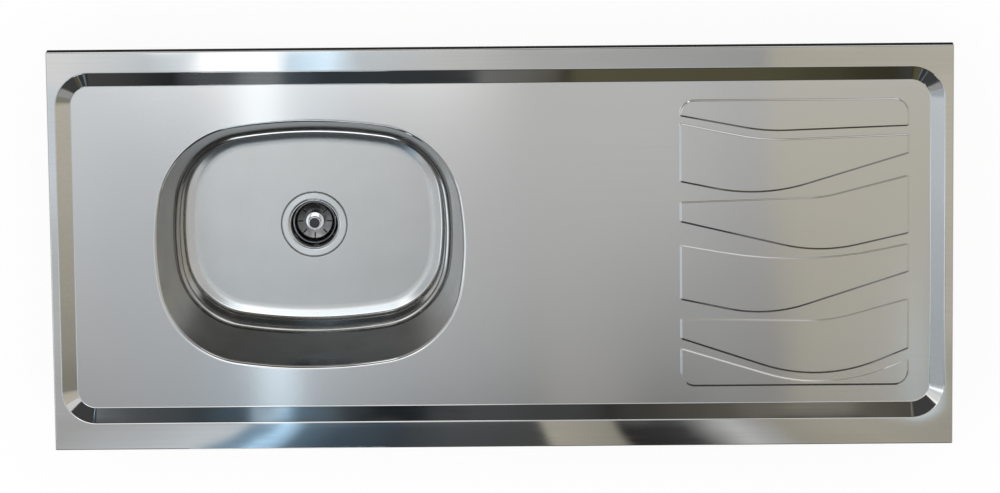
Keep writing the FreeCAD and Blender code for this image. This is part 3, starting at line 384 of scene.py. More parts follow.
def add_noise(tree, scale, detail=3.0, roughness=0.5):
    """Noise in object space, scaled apart along X, Y and Z."""
    place = add_node(tree, "TexCoord").outputs["Object"]
    mapping = add_node(tree, "Mapping", inputs={"Vector": place, "Scale": scale})
    noise = add_node(tree, "TexNoise", inputs={
        "Vector": mapping.outputs["Vector"], "Scale": 1.0, "Detail": detail, "Roughness": roughness,
    })
    return noise.outputs["Fac"]


def add_ramp(tree, factor, stops, ease="LINEAR"):
    """Colour ramp through (place, colour) stops."""
    node = add_node(tree, "ValToRGB", inputs={"Fac": factor})
    ramp = node.color_ramp
    ramp.interpolation = ease
    while len(ramp.elements) < len(stops):
        ramp.elements.new(1.0)
    while len(ramp.elements) > len(stops):
        ramp.elements.remove(ramp.elements[-1])
    for element, (place, colour) in zip(ramp.elements, stops):
        element.position = place
        element.color = (*colour, 1.0)
    return node.outputs["Color"]


def add_mottle(tree, noise, dark, light):
    """Colour that runs from dark to light with a noise."""
    return add_ramp(tree, noise, [(DARK_END, dark), (LIGHT_END, light)])


def mix_colours(tree, factor, first, second):
    mix = add_node(tree, "Mix", {"data_type": "RGBA"})
    tree.links.new(factor, mix.inputs["Factor"])
    tree.links.new(first, mix.inputs[6])
    tree.links.new(second, mix.inputs[7])
    return mix.outputs[2]


def add_range(tree, value, low, high, start=DARK_END, end=LIGHT_END):
    """Value carried from start..end to low..high, and held at its ends."""
    node = add_node(tree, "MapRange", inputs={
        "Value": value, "From Min": start, "From Max": end, "To Min": low, "To Max": high,
    })
    return node.outputs["Result"]


def add_bump(tree, shader, height, distance, strength=1.0, before=None):
    inputs = {"Height": height, "Distance": distance, "Strength": strength}
    if before is not None:
        inputs["Normal"] = before
    bump = add_node(tree, "Bump", inputs=inputs)
    tree.links.new(bump.outputs["Normal"], shader.inputs["Normal"])
    return bump.outputs["Normal"]


def make_metal(name, dark, light, roughness, spread, grain, wave, brush=None):
    """Steel with a drawn or rolled grain. grain scales the fine streaks, wave the slow unevenness.

    brush is the strength of the stretched highlight, the axis that the brushing goes round or
    along, and the highlight's turn."""
    material, tree, shader = new_material(name)
    shader.inputs["Metallic"].default_value = 1.0
    streaks = add_noise(tree, grain, 4.0, 0.6)
    colour = add_mottle(tree, streaks, dark, light)
    tree.links.new(colour, shader.inputs["Base Color"])
    tree.links.new(
        add_range(tree, streaks, roughness + spread, roughness - spread), shader.inputs["Roughness"]
    )
    scale, depth = wave
    add_bump(tree, shader, add_noise(tree, (scale, scale, scale), 1.0, 0.4), depth)
    if brush:
        amount, axis, turn = brush
        shader.inputs["Anisotropic"].default_value = amount
        shader.inputs["Anisotropic Rotation"].default_value = turn
        tangent = add_node(tree, "Tangent", {"direction_type": "RADIAL", "axis": axis})
        tree.links.new(tangent.outputs["Tangent"], shader.inputs["Tangent"])
    return material


def make_bowl_steel(name):
    """Drawn steel of the bowl: satin on its flat floor, polished on the heel, with painted shade darkening
    its walls and its recess.
    """
    material, tree, shader = new_material(name)
    shader.inputs["Metallic"].default_value = 1.0
    place = add_node(tree, "TexCoord").outputs["Object"]
    level = add_node(tree, "SeparateXYZ", inputs={"Vector": place}).outputs["Z"]
    rise = add_node(tree, "Math", {"operation": "SUBTRACT"}, {0: level, 1: FLOOR * MM}).outputs["Value"]
    below = add_node(tree, "Math", {"operation": "MULTIPLY"}, {0: rise, 1: -RECESS_RATE}).outputs["Value"]
    off_floor = add_node(tree, "Math", {"operation": "MAXIMUM"}, {0: rise, 1: below}).outputs["Value"]
    polish = add_range(tree, off_floor, 0.0, 1.0, *HEEL_POLISH)
    roughness = add_range(tree, polish, SATIN_ROUGHNESS, HEEL_ROUGHNESS, 0.0, 1.0)
    tree.links.new(roughness, shader.inputs["Roughness"])
    mottle = add_noise(tree, (BOWL_MOTTLE,) * 3, 4.0, 0.6)
    bright = add_mottle(tree, mottle, *BOWL_BRIGHT)
    dark = add_mottle(tree, mottle, *BOWL_PAINTED_SHADE)
    # painted shade: the steel's colour turns to its darker copy up the walls and down into the recess
    wall = add_range(tree, off_floor, 0.0, 1.0, *PAINTED_WALL_SHADE)
    tree.links.new(mix_colours(tree, wall, bright, dark), shader.inputs["Base Color"])
    add_bump(tree, shader, add_noise(tree, (BOWL_WAVE,) * 3, 1.0, 0.4), BOWL_WAVE_DEPTH)
    return material


def make_wood(name):
    """Planed softwood: long grain lines, growth bands and a dull sheen."""
    material, tree, shader = new_material(name)
    grain = add_noise(tree, WOOD_GRAIN, 5.0, 0.6)
    bands = add_noise(tree, WOOD_BANDS, 2.0, 0.5)
    mixed = add_node(tree, "Math", {"operation": "MULTIPLY_ADD"}, {0: bands, 1: BAND_SHARE})
    tree.links.new(grain, mixed.inputs[2])
    colour = add_ramp(tree, mixed.outputs["Value"], [
        (0.45, (0.30, 0.17, 0.075)),
        (0.65, (0.52, 0.34, 0.17)),
        (0.95, (0.63, 0.45, 0.26)),
    ])
    tree.links.new(colour, shader.inputs["Base Color"])
    tree.links.new(add_range(tree, grain, WOOD_DULL, WOOD_SHEEN), shader.inputs["Roughness"])
    add_bump(tree, shader, grain, WOOD_DEPTH)
    return material


def make_moulded(name, dark, light, roughness, scale, depth):
    """Moulded plastic, rubber or compound: faint mottling and a fine surface."""
    material, tree, shader = new_material(name)
    mottle = add_noise(tree, (scale, scale, scale), 4.0, 0.6)
    tree.links.new(add_mottle(tree, mottle, dark, light), shader.inputs["Base Color"])
    dullness = add_range(tree, mottle, roughness + MOULDED_SPREAD, roughness - MOULDED_SPREAD)
    tree.links.new(dullness, shader.inputs["Roughness"])
    add_bump(tree, shader, mottle, depth)
    return material


def make_materials():
    """One material for each slot of the record, three for the sheets, and one for the basket with painted
    shade.
    """
    return {
        "satin_panel": make_metal(
            "satin_panel", dark=(0.70, 0.70, 0.695), light=(0.716, 0.716, 0.71),
            roughness=0.185, spread=0.006, grain=(3.0, 700.0, 700.0), wave=(6.0, 0.0004),
            brush=(0.95, "X", 0.0),
        ),
        "polished_sheet": make_metal(
            "polished_sheet", dark=(0.69, 0.69, 0.685), light=(0.72, 0.72, 0.71),
            roughness=0.05, spread=0.01, grain=(4.0, 300.0, 300.0), wave=(9.0, 0.0006),
        ),
        "bowl_steel": make_bowl_steel("bowl_steel"),
        "pressed_steel": make_metal(
            "pressed_steel", dark=(0.66, 0.66, 0.65), light=(0.72, 0.72, 0.71),
            roughness=0.25, spread=0.03, grain=(4.0, 300.0, 300.0), wave=(9.0, 0.0004),
        ),
        "strainer_steel": make_metal(
            "strainer_steel", dark=(0.66, 0.66, 0.655), light=(0.72, 0.72, 0.71),
            roughness=0.22, spread=0.015, grain=(600.0, 600.0, 600.0), wave=(60.0, 0.00003),
            brush=(0.6, "Z", 0.25),
        ),
        # the basket's steel, darkened to paint the shade inside its cup
        "basket_steel_painted_shade": make_metal(
            "basket_steel_painted_shade", dark=(0.12, 0.12, 0.125), light=(0.24, 0.24, 0.24),
            roughness=0.20, spread=0.03, grain=(90.0, 90.0, 90.0), wave=(60.0, 0.00003),
            brush=(0.8, "Z", 0.0),
        ),
        "polished_steel": make_metal(
            "polished_steel", dark=(0.74, 0.74, 0.735), light=(0.80, 0.80, 0.79),
            roughness=0.08, spread=0.02, grain=(150.0, 150.0, 150.0), wave=(80.0, 0.00004),
        ),
        "zinc_steel": make_metal(
            "zinc_steel", dark=(0.50, 0.53, 0.56), light=(0.68, 0.70, 0.71),
            roughness=0.38, spread=0.08, grain=(70.0, 70.0, 70.0), wave=(200.0, 0.0001),
        ),
        "batten_wood": make_wood("batten_wood"),
        "black_plastic": make_moulded(
            "black_plastic", dark=(0.018, 0.018, 0.02), light=(0.03, 0.03, 0.033),
            roughness=0.4, scale=300.0, depth=0.0001,
        ),
        "black_rubber": make_moulded(
            "black_rubber", dark=(0.02, 0.02, 0.02), light=(0.04, 0.04, 0.04),
            roughness=0.6, scale=400.0, depth=0.0002,
        ),
        "sealing_compound": make_moulded(
            "sealing_compound", dark=(0.40, 0.40, 0.38), light=(0.52, 0.52, 0.50),
            roughness=0.6, scale=200.0, depth=0.0003,
        ),
        "fibre_ring": make_moulded(
            "fibre_ring", dark=(0.24, 0.14, 0.07), light=(0.38, 0.25, 0.14),
            roughness=0.8, scale=700.0, depth=0.0002,
        ),
        "white_plastic": make_moulded(
            "white_plastic", dark=(0.76, 0.76, 0.74), light=(0.82, 0.82, 0.80),
            roughness=0.38, scale=120.0, depth=0.0001,
        ),
        "damping_pad": make_moulded(
            "damping_pad", dark=(0.02, 0.02, 0.022), light=(0.05, 0.05, 0.052),
            roughness=0.75, scale=250.0, depth=0.0006,
        ),
    }


def dress_nodes(materials):
    """Give every carried-over CAD node the material of its slot, and the basket its steel darkened by
    painted shade.
    """
    for part in frame["record"]["subparts"]:
        finish = "basket_steel_painted_shade" if part["node"] == "basket_cup" else part["material_slot"]
        mesh = frame["nodes"][part["node"]].data
        mesh.materials.clear()
        mesh.materials.append(materials[finish])


# ---------------------------------------------------------------- deck

SATIN = 0
POLISHED = 1
RIM_STEPS = 10
PAD_STEPS = 4


def add_skirt(sheet):
    """Hem, skirt and outer bend. Gives back the row where the flat border starts."""
    edge = rounded_rectangle(-HALF_LENGTH, HALF_LENGTH, -HALF_WIDTH, HALF_WIDTH, CORNER_BEND)
    skirt = arc_profile(-2 * QUARTER, QUARTER, EDGE_BEND, (EDGE_BEND, EDGE_BEND))
    skirt += arc_profile(-QUARTER, QUARTER, EDGE_BEND, (EDGE_BEND, BORDER - EDGE_BEND))
    foot, border_edge = sheet.sweep(edge, skirt, POLISHED)
    hem_x, hem_y = HALF_LENGTH - HEM, HALF_WIDTH - HEM
    hem = sheet.ring(
        [(-hem_x, -hem_y, 0.0), (hem_x, -hem_y, 0.0), (hem_x, hem_y, 0.0), (-hem_x, hem_y, 0.0)],
        [(0.0, 0.0, -1.0)] * 4,
    )
    sheet.fill(foot, [hem], POLISHED, flip=True)
    return border_edge


def add_sloped_ring(sheet):
    """Slope from the border to the panel, with a bend at its top and its foot."""
    ring = rounded_rectangle(-RING_SIDE, RING_SIDE, RING_FRONT, RING_REAR, RING_CORNER)
    slope = math.atan2(BASIN_DEPTH, SLOPE_WIDTH)
    top_reach = SLOPE_TOP_BEND * math.tan(slope / 2)
    foot_reach = SLOPE_FOOT_BEND * math.tan(slope / 2)
    profile = arc_profile(0.0, slope, SLOPE_TOP_BEND, (-top_reach, BORDER - SLOPE_TOP_BEND))
    profile += arc_profile(
        slope, -slope, -SLOPE_FOOT_BEND, (SLOPE_WIDTH + foot_reach, PANEL + SLOPE_FOOT_BEND)
    )
    return sheet.sweep(ring, profile, POLISHED)


def add_bowl_rim(sheet):
    """Bend from the panel down to the collar that the bowl is welded to."""
    rim = bowl_outline(RIM_LENGTH, RIM_WIDTH, 0.0)
    profile = []
    bend = arc_profile(0.0, QUARTER, RIM_BEND, (0.0, PANEL - RIM_BEND), RIM_STEPS)
    for distance, height, across, _ in bend:
        lean = math.asin(min(1.0, across)) * RIM_LEAN
        profile.append((distance, height, math.sin(lean), math.cos(lean)))
    profile.append((RIM_BEND, PANEL - COLLAR, math.sin(QUARTER * RIM_LEAN), math.cos(QUARTER * RIM_LEAN)))
    return sheet.sweep(rim, profile, POLISHED)[0]


def add_pads(sheet):
    """Six raised pads. Gives back the rows where they rise from the panel."""
    pad_slope = math.atan2(PAD_HEIGHT, PAD_SLOPE)
    reach = PAD_BEND * math.tan(pad_slope / 2)
    profile = arc_profile(0.0, -pad_slope, -PAD_BEND, (-reach, PANEL + PAD_BEND), PAD_STEPS)
    profile += arc_profile(
        -pad_slope, pad_slope, PAD_BEND, (PAD_SLOPE + reach, PANEL + PAD_HEIGHT - PAD_BEND), PAD_STEPS
    )
    feet = []
    for outline in pad_outlines():
        foot, top = sheet.sweep(outline, profile, POLISHED)
        sheet.fill(top, [], SATIN)
        feet.append(foot)
    return feet


def make_deck(materials):
    """Border, skirt, sloped ring, panel, drainer pads and the bowl's rim, as one sheet."""
    sheet = Sheet()
    border_edge = add_skirt(sheet)
    ring_top, ring_foot = add_sloped_ring(sheet)
    sheet.fill(border_edge, [ring_top], POLISHED)
    holes = [add_bowl_rim(sheet)] + add_pads(sheet)
    sheet.fill(ring_foot, holes, SATIN)
    deck = sheet.build("deck_sheet", [materials["satin_panel"], materials["polished_sheet"]])
    settle(deck, "deck")


def settle(piece, node):
    """The piece stands for a node of the sink top."""
    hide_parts(node)
    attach(piece, "sink_top")


# ---------------------------------------------------------------- bowl

# (inset from the rim's outline along X, height, radius of the bend there), from the collar down
BOWL_LINE = [
    (RIM_BEND, PANEL - COLLAR, 0.0),
    (24.0, PANEL - 93.0, 3.8),
    (30.0, PANEL - 95.0, 3.6),
    (33.0, PANEL - 136.9, 5.0),
    (48.5, FLOOR, 40.0),
    (70.0, FLOOR, 0.0),
]
# the long sides lean in this much more than the short ones, down to the step
EXTRA_LEAN = 7.1
RECESS_BEND = 1.3
RECESS_ROOT = 0.6
CIRCLE_STEPS = 144
RECESS_STEPS = 6
DRAWN = 0
WALL_STEP = 4.0
# the bowl's bends take steps this many times as wide as ARC_STEP
WIDE_STEP = 1.5


def bent_line(corners):
    """Points along a line with rounded corners, close together on the bends."""
    line = [corners[0][:2]]
    for i in range(1, len(corners) - 1):
        spot = np.array(corners[i][:2])
        before = np.array(corners[i - 1][:2]) - spot
        after = np.array(corners[i + 1][:2]) - spot
        before /= np.linalg.norm(before)
        after /= np.linalg.norm(after)
        turn = math.pi - math.acos(float(before @ after))
        reach = corners[i][2] * math.tan(turn / 2)
        start, end = spot + before * reach, spot + after * reach
        inside = (before + after) / np.linalg.norm(before + after)
        centre = spot + inside * math.hypot(corners[i][2], reach)
        run = start - line[-1]
        pieces = max(1, round(float(np.linalg.norm(run)) / WALL_STEP))
        line += [tuple(line[-1] + run * k / pieces) for k in range(1, pieces)]
        first, last = start - centre, end - centre
        steps = max(8, round(turn / ARC_STEP / WIDE_STEP))
        for k in range(steps + 1):
            t = k / steps
            way = first * math.sin(turn * (1 - t)) + last * math.sin(turn * t)
            line.append(tuple(centre + way / math.sin(turn)))
    return line


def grid_normals(grid):
    """Normals of a grid of points: rows run inwards, and columns close up anticlockwise."""
    along = np.roll(grid, -1, axis=1) - np.roll(grid, 1, axis=1)
    inwards = np.empty_like(grid)
    inwards[1:-1] = grid[2:] - grid[:-2]
    inwards[0] = grid[1] - grid[0]
    inwards[-1] = grid[-1] - grid[-2]
    normals = np.cross(along, inwards)
    return normals / np.linalg.norm(normals, axis=2)[:, :, None]


def make_bowl(materials):
    """Drawn bowl from the collar to the waste hole, with a step low in its wall."""
    sheet = Sheet()
    grid = []
    line = bent_line(BOWL_LINE)
    for inset, height in line:
        lean = EXTRA_LEAN * min(1.0, (inset - RIM_BEND) / (BOWL_LINE[1][0] - RIM_BEND))
        plan, _ = bowl_outline(RIM_LENGTH - inset, RIM_WIDTH - inset - lean, inset)
        grid.append(np.column_stack([plan, np.full(len(plan), height)]))
    grid = np.array(grid)
    normals = grid_normals(grid)
    normals[-1] = (0.0, 0.0, 1.0)
    rows = [sheet.ring(points, ways) for points, ways in zip(grid, normals)]
    for outer, inner in zip(rows, rows[1:]):
        sheet.bridge(outer, inner, DRAWN)

    turn = 2 * math.pi * np.arange(CIRCLE_STEPS) / CIRCLE_STEPS
    ways = np.column_stack([np.cos(turn), np.sin(turn)])
    brim = RECESS_RADIUS + RECESS_BEND
    profile = arc_profile(0.0, QUARTER, RECESS_BEND, (0.0, FLOOR - RECESS_BEND), RECESS_STEPS)
    profile += arc_profile(
        QUARTER, -QUARTER, -RECESS_ROOT,
        (RECESS_BEND + RECESS_ROOT, FLOOR - RECESS_DEPTH + RECESS_ROOT), RECESS_STEPS,
    )
    profile.append((brim - WASTE_HOLE_RADIUS, FLOOR - RECESS_DEPTH, 0.0, 1.0))
    recess, _ = sheet.sweep((BOWL + ways * brim, -ways), profile, DRAWN)
    sheet.fill(rows[-1], [recess], DRAWN)
    bowl = sheet.build("bowl_sheet", [materials["bowl_steel"]])
    settle(bowl, "bowl")


# ---------------------------------------------------------------- camera, light and floor

CAMERA_DISTANCE = 8000.0
CAMERA_TILT = 0.20201
CAMERA_LEAN = -0.01361
CAMERA_ROLL = 0.01102
CAMERA_ASIDE = (-2.14351, -0.75351)
LENS = 216.16

FLOOR_LEVEL = -0.2495
FLOOR_REACH = 40.0
FLOOR_GLOW = 0.88
GLOW_LEVEL = 1.04
FLOOR_GREY = 0.9
FLAG_NEAR = 0.015
FLAG_FAR = 0.14
FLAG_LIFT = 0.002

LAMP_SIZE = 3.0
LAMP_POWER = 90.0
LAMP_PLACE = (0.0, 0.5, 3.0)
WALL_AWAY = 2.4
OVERHEAD_HEIGHT = 1.022
WINDOW_HEIGHT = 1.015
# brightness of the studio's walls by the height of the way that looks at them
STUDIO = [(0.0, 1.0), (0.06, 1.0), (0.16, 0.50), (0.60, 0.30), (1.0, 0.40)]


def make_camera():
    """Camera high over the sink, a little to its rear, at the photograph's angle."""
    turn = (
        Matrix.Rotation(CAMERA_ROLL, 3, "Z")
        @ Matrix.Rotation(CAMERA_TILT, 3, "X")
        @ Matrix.Rotation(CAMERA_LEAN, 3, "Y")
    ).transposed()
    data = bpy.data.cameras.new("camera")
    data.sensor_width = 36.0
    data.lens = LENS
    data.clip_end = 100.0
    camera = bpy.data.objects.new("camera", data)
    place = turn @ Vector((*CAMERA_ASIDE, CAMERA_DISTANCE)) * MM
    camera.matrix_world = Matrix.Translation(place) @ turn.to_4x4()
    bpy.context.scene.collection.objects.link(camera)
    bpy.context.scene.camera = camera


def make_plane(name, centre, along, across, material):
    """Flat stage piece spanned by two half sides."""
    centre, along, across = Vector(centre), Vector(along), Vector(across)
    corners = [
        centre - along - across, centre + along - across,
        centre + along + across, centre - along + across,
    ]
    mesh = bpy.data.meshes.new(name)
    mesh.from_pydata(corners, [], [(0, 1, 2, 3)])
    mesh.materials.append(material)
    plane = bpy.data.objects.new(name, mesh)
    bpy.context.scene.collection.objects.link(plane)
    return plane


# Tints of the light, as (red, green, blue).
PLAIN = (1.0, 1.0, 1.0)
COOL = (0.93, 1.0, 1.06)
PALE = (0.80, 1.0, 1.16)
BLUE = (0.65, 1.0, 1.34)
WARM = (1.06, 1.0, 0.84)
BROWN = (1.08, 1.0, 0.60)

# Cards of light round the sink, as the steel mirrors them. A pattern is a list of (place, level,
# tint) along a card. A card's rows are (where it starts to show, where it shows alone, pattern).
DARK_ROW = [(0.0, 0.06, PLAIN)]
FRONT_ROW = [
    (-0.67, 0.47, PLAIN), (-0.44, 0.74, COOL), (-0.415, 0.34, BLUE), (-0.388, 0.36, BLUE),
    (-0.375, 1.00, BLUE), (-0.35, 0.64, BLUE), (-0.325, 0.19, BLUE), (-0.26, 0.095, BLUE),
    (-0.17, 0.06, PALE), (-0.09, 0.085, COOL), (0.046, 0.075, PLAIN), (0.056, 0.44, WARM),
    (0.163, 0.32, WARM), (0.172, 0.02, PLAIN), (0.27, 0.05, PLAIN), (0.34, 0.62, PLAIN),
    (0.37, 0.47, PLAIN), (0.41, 0.36, WARM), (0.53, 0.43, WARM), (0.65, 0.39, WARM),
]
LOW_ROW = [
    (-0.62, 0.51, PLAIN), (-0.385, 0.46, COOL), (-0.370, 1.50, PALE), (-0.335, 1.80, PALE),
    (-0.312, 0.82, COOL), (-0.10, 0.72, COOL), (0.06, 0.50, PLAIN), (0.30, 0.41, PLAIN),
    (0.405, 0.22, PLAIN), (0.425, 0.62, WARM), (0.58, 0.72, PLAIN), (0.61, 1.40, PALE), (0.65, 0.40, WARM),
]
MIDDLE_ROW = [
    (-0.78, 1.60, PLAIN), (-0.72, 0.58, PLAIN), (-0.46, 0.61, COOL), (-0.40, 0.68, COOL),
    (-0.375, 1.50, COOL), (-0.345, 1.50, COOL), (-0.30, 0.72, COOL), (-0.15, 0.60, PLAIN),
    (0.10, 0.51, PLAIN), (0.395, 0.40, PLAIN), (0.415, 0.46, WARM), (0.62, 0.53, WARM),
]
UPPER_ROW = [
    (-0.66, 0.81, COOL), (-0.58, 0.62, COOL), (-0.46, 0.48, COOL), (-0.42, 0.68, COOL),
    (-0.395, 1.45, COOL), (-0.355, 1.30, COOL), (-0.33, 0.66, COOL), (-0.27, 0.47, COOL),
    (-0.08, 0.55, PLAIN), (0.06, 0.67, PLAIN), (0.24, 0.72, PLAIN), (0.37, 0.58, PLAIN),
    (0.395, 0.63, WARM), (0.62, 0.57, WARM),
]
REAR_ROW = [
    (-0.67, 0.88, PLAIN), (-0.54, 0.74, COOL), (-0.475, 0.95, COOL), (-0.45, 1.60, PLAIN),
    (-0.355, 1.60, PLAIN), (-0.325, 0.95, PALE), (-0.265, 1.25, PALE), (-0.23, 0.72, COOL),
    (-0.09, 0.66, PLAIN), (0.05, 0.51, PLAIN), (0.375, 0.41, PLAIN), (0.40, 0.49, WARM),
    (0.65, 0.54, WARM),
]
FAR_ROW = [(-0.70, 0.90, PLAIN), (-0.52, 1.95, PLAIN), (-0.09, 1.95, PLAIN), (0.03, 0.80, PLAIN)]
OVERHEAD_ROWS = [
    (0.0, 0.0, DARK_ROW), (-0.57, -0.55, FRONT_ROW), (-0.466, -0.458, LOW_ROW), (-0.40, -0.32, MIDDLE_ROW),
    (-0.23, -0.09, UPPER_ROW), (0.045, 0.06, REAR_ROW), (0.102, 0.112, FAR_ROW), (0.39, 0.43, DARK_ROW),
]
FRONT_WALL = [(0.0, 0.0, [
    (-1.30, 0.10, PLAIN), (-1.24, 1.80, PLAIN), (-1.14, 1.80, PLAIN), (-1.08, 0.10, PLAIN),
    (-0.80, 0.08, PLAIN), (-0.60, 0.02, COOL), (-0.57, 0.11, COOL), (-0.52, 0.10, COOL),
    (-0.48, 0.27, COOL), (-0.45, 0.25, COOL), (-0.41, 0.10, PALE), (-0.34, 0.05, PALE),
    (-0.10, 0.045, COOL), (-0.07, 0.20, PLAIN), (0.05, 0.12, WARM), (0.07, 0.04, WARM),
    (0.10, 0.105, BROWN), (0.45, 0.09, BROWN), (0.66, 0.04, BROWN), (0.72, 0.07, PLAIN),
    (1.00, 0.10, PLAIN), (1.30, 0.30, PLAIN),
])]
REAR_WALL_DARK = [
    (-0.84, 0.26, COOL), (-0.78, 0.11, COOL), (-0.60, 0.06, PALE), (-0.53, 0.12, BLUE),
    (-0.505, 0.70, PALE), (-0.468, 0.82, BLUE), (-0.443, 0.22, BLUE), (-0.35, 0.11, PALE),
    (-0.31, 0.018, PALE), (-0.20, 0.02, PALE), (-0.13, 0.085, COOL), (0.10, 0.065, PLAIN),
    (0.16, 0.035, PLAIN), (0.40, 0.12, WARM), (0.53, 0.23, WARM), (0.61, 0.22, WARM),
    (0.69, 0.09, WARM),
]
REAR_WALL_LIGHT = [(-0.70, 1.60, PLAIN), (-0.55, 0.40, WARM), (0.30, 0.40, WARM), (0.75, 0.95, PLAIN)]
REAR_WALL = [(0.0, 0.0, REAR_WALL_LIGHT), (1.55, 1.70, REAR_WALL_DARK)]
LEFT_WALL = [(0.0, 0.0, DARK_ROW), (0.45, 0.55, [
    (-1.15, 0.49, COOL), (-0.85, 0.50, COOL), (-0.42, 0.71, COOL), (0.40, 0.66, COOL),
])]
RIGHT_WALL = [(0.0, 0.0, DARK_ROW), (0.25, 0.35, [
    (-0.98, 0.26, WARM), (-0.88, 0.35, WARM), (-0.70, 0.45, WARM), (-0.45, 0.55, WARM), (0.40, 0.50, WARM),
])]
WINDOW = [(0.0, 0.0, [(0.0, 2.4, COOL)])]
NEAR_WINDOW = [(0.0, 0.0, [(0.0, 3.4, COOL)])]
FLAG = [(0.0, 0.0, [(0.0, 0.025, PLAIN)])]
# how the edges on the front row fan out about x = 0 towards the front: from which y, and how much
FAN_START = -0.488
FAN_RATE = 4.0


def fan_out(tree, along, aside):
    """Run of the front row, stretched sideways the more the further to the front."""
    ahead = add_node(tree, "Math", {"operation": "SUBTRACT"}, {0: FAN_START, 1: aside}).outputs["Value"]
    spread = add_node(tree, "Math", {"operation": "MULTIPLY_ADD"}, {0: ahead, 1: FAN_RATE, 2: 1.0})
    drawn = add_node(tree, "Math", {"operation": "DIVIDE"}, {0: along, 1: spread.outputs["Value"]})
    return drawn.outputs["Value"]


def make_card(name, run, rise, place, rows, lights=False):
    """Card of light that shows only in reflections, and lights dull surfaces if lights is set.

    run and rise are (axis, low end, high end) of its long and its short side, and place is where
    it stands on the third axis."""
    material = bpy.data.materials.new(name)
    material.use_nodes = True
    tree = material.node_tree
    tree.nodes.clear()
    spot = add_node(tree, "NewGeometry").outputs["Position"]
    parts = add_node(tree, "SeparateXYZ", inputs={"Vector": spot})
    axis, low, high = run
    along, aside = parts.outputs[axis], parts.outputs[rise[0]]
    colour = None
    for start, end, pattern in rows:
        line = fan_out(tree, along, aside) if pattern is FRONT_ROW else along
        stops = [((x - low) / (high - low), shade(level, tint)) for x, level, tint in pattern]
        row = add_ramp(tree, add_range(tree, line, 0.0, 1.0, low, high), stops)
        if colour is None:
            colour = row
        else:
            colour = mix_colours(tree, add_range(tree, aside, 0.0, 1.0, start, end), colour, row)
    glow = add_node(tree, "Emission", inputs={"Color": colour, "Strength": 1.0})
    end = add_node(tree, "OutputMaterial")
    tree.links.new(glow.outputs["Emission"], end.inputs["Surface"])
    middle = [place, place, place]
    sides = []
    for axis, low, high in (run, rise):
        number = "XYZ".index(axis)
        middle[number] = (low + high) / 2
        side = [0.0, 0.0, 0.0]
        side[number] = (high - low) / 2
        sides.append(side)
    card = make_plane(name, middle, sides[0], sides[1], material)
    card.visible_camera = False
    card.visible_shadow = False
    card.visible_diffuse = lights


def shade(level, tint):
    return tuple(level * part for part in tint)


def grey(level):
    return shade(level, PLAIN)


def make_flags():
    """Black flags on the floor round the sink, which give its skirt a dark edge from above."""
    (left, front, _), (right, rear, _) = CAD_BOX
    level = FLOOR_LEVEL + FLAG_LIFT
    for name, x, y in (
        ("flag_front", (left - FLAG_FAR, right + FLAG_FAR), (front - FLAG_FAR, front - FLAG_NEAR)),
        ("flag_rear", (left - FLAG_FAR, right + FLAG_FAR), (rear + FLAG_NEAR, rear + FLAG_FAR)),
        ("flag_left", (left - FLAG_FAR, left - FLAG_NEAR), (front, rear)),
        ("flag_right", (right + FLAG_NEAR, right + FLAG_FAR), (front, rear)),
    ):
        make_card(name, ("X", *x), ("Y", *y), level, FLAG)


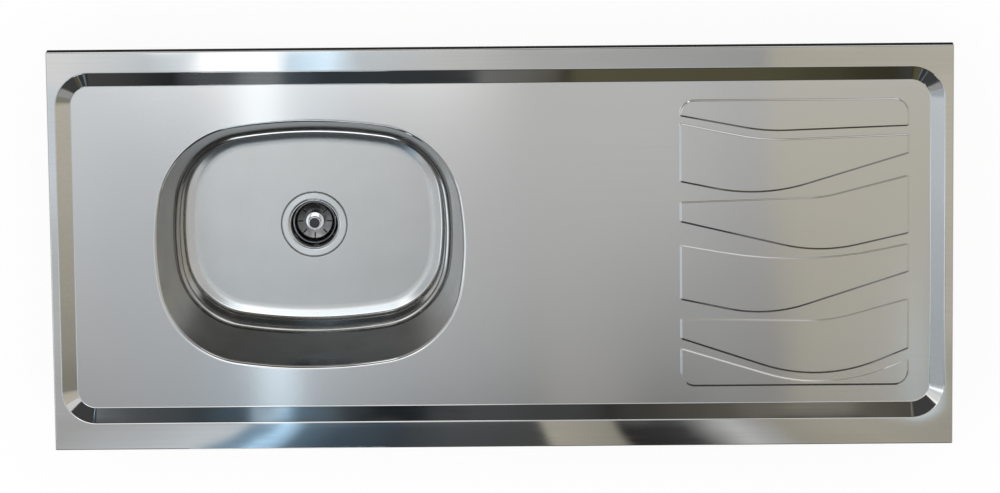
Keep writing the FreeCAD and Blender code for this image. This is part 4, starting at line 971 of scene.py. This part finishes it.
def make_lights():
    """Broad soft light from above for the dull surfaces, and the cards for the steel."""
    data = bpy.data.lights.new("soft_light", "AREA")
    data.shape = "RECTANGLE"
    data.size = LAMP_SIZE
    data.size_y = LAMP_SIZE
    data.energy = LAMP_POWER
    light = bpy.data.objects.new("soft_light", data)
    light.location = LAMP_PLACE
    light.visible_glossy = False
    light.visible_camera = False
    bpy.context.scene.collection.objects.link(light)
    make_card("overhead_card", ("X", -1.05, 0.90), ("Y", -2.35, 0.95), OVERHEAD_HEIGHT, OVERHEAD_ROWS, True)
    make_card("front_wall", ("X", -1.60, 1.80), ("Z", 0.09, 1.35), -WALL_AWAY, FRONT_WALL)
    make_card("rear_wall", ("X", -1.15, 1.60), ("Z", 0.50, 3.20), WALL_AWAY, REAR_WALL)
    make_card("left_wall", ("Y", -1.60, 0.40), ("Z", 0.15, 2.50), -WALL_AWAY, LEFT_WALL)
    make_card("right_wall", ("Y", -1.60, 0.40), ("Z", 0.15, 2.50), WALL_AWAY, RIGHT_WALL)
    make_card("window", ("X", -1.00, -0.82), ("Y", -0.50, -0.20), WINDOW_HEIGHT, WINDOW, True)
    make_card("near_window", ("X", -0.50, -0.20), ("Y", -1.18, -0.96), WINDOW_HEIGHT, NEAR_WINDOW, True)
    make_flags()


def make_floor():
    """Plain pale floor. Most of it glows where it is seen, so that the shadow on it stays light."""
    material, tree, shader = new_material("floor")
    shader.inputs["Base Color"].default_value = (*grey(FLOOR_GREY), 1.0)
    shader.inputs["Roughness"].default_value = 0.9
    shader.inputs["Specular IOR Level"].default_value = 0.0
    glow = add_node(tree, "Emission", inputs={"Color": (1.0, 1.0, 1.0, 1.0), "Strength": GLOW_LEVEL})
    paths = add_node(tree, "LightPath")
    seen = paths.outputs["Is Camera Ray"]
    for kind in ("Is Glossy Ray", "Is Transmission Ray"):
        either = add_node(tree, "Math", {"operation": "MAXIMUM"})
        tree.links.new(seen, either.inputs[0])
        tree.links.new(paths.outputs[kind], either.inputs[1])
        seen = either.outputs["Value"]
    share = add_range(tree, seen, 0.0, FLOOR_GLOW, 0.0, 1.0)
    mix = add_node(tree, "MixShader", inputs={"Fac": share})
    tree.links.new(shader.outputs["BSDF"], mix.inputs[1])
    tree.links.new(glow.outputs["Emission"], mix.inputs[2])
    tree.links.new(mix.outputs["Shader"], tree.nodes["Material Output"].inputs["Surface"])
    make_plane("floor", (0, 0, FLOOR_LEVEL), (FLOOR_REACH, 0, 0), (0, FLOOR_REACH, 0), material)


def make_world():
    """Studio walls: white at the floor's far edge, soft grey above."""
    world = bpy.data.worlds.new("studio")
    bpy.context.scene.world = world
    world.use_nodes = True
    tree = world.node_tree
    background = tree.nodes["Background"]
    way = add_node(tree, "TexCoord").outputs["Generated"]
    up = add_node(tree, "SeparateXYZ", inputs={"Vector": way}).outputs["Z"]
    walls = add_ramp(tree, up, [(height, grey(level)) for height, level in STUDIO])
    tree.links.new(walls, background.inputs["Color"])
    background.inputs["Strength"].default_value = 1.0


make_camera()
finishes = make_materials()
dress_nodes(finishes)
make_deck(finishes)
make_bowl(finishes)
make_lights()
make_floor()
make_world()
bpy.context.scene.view_settings.view_transform = "Standard"
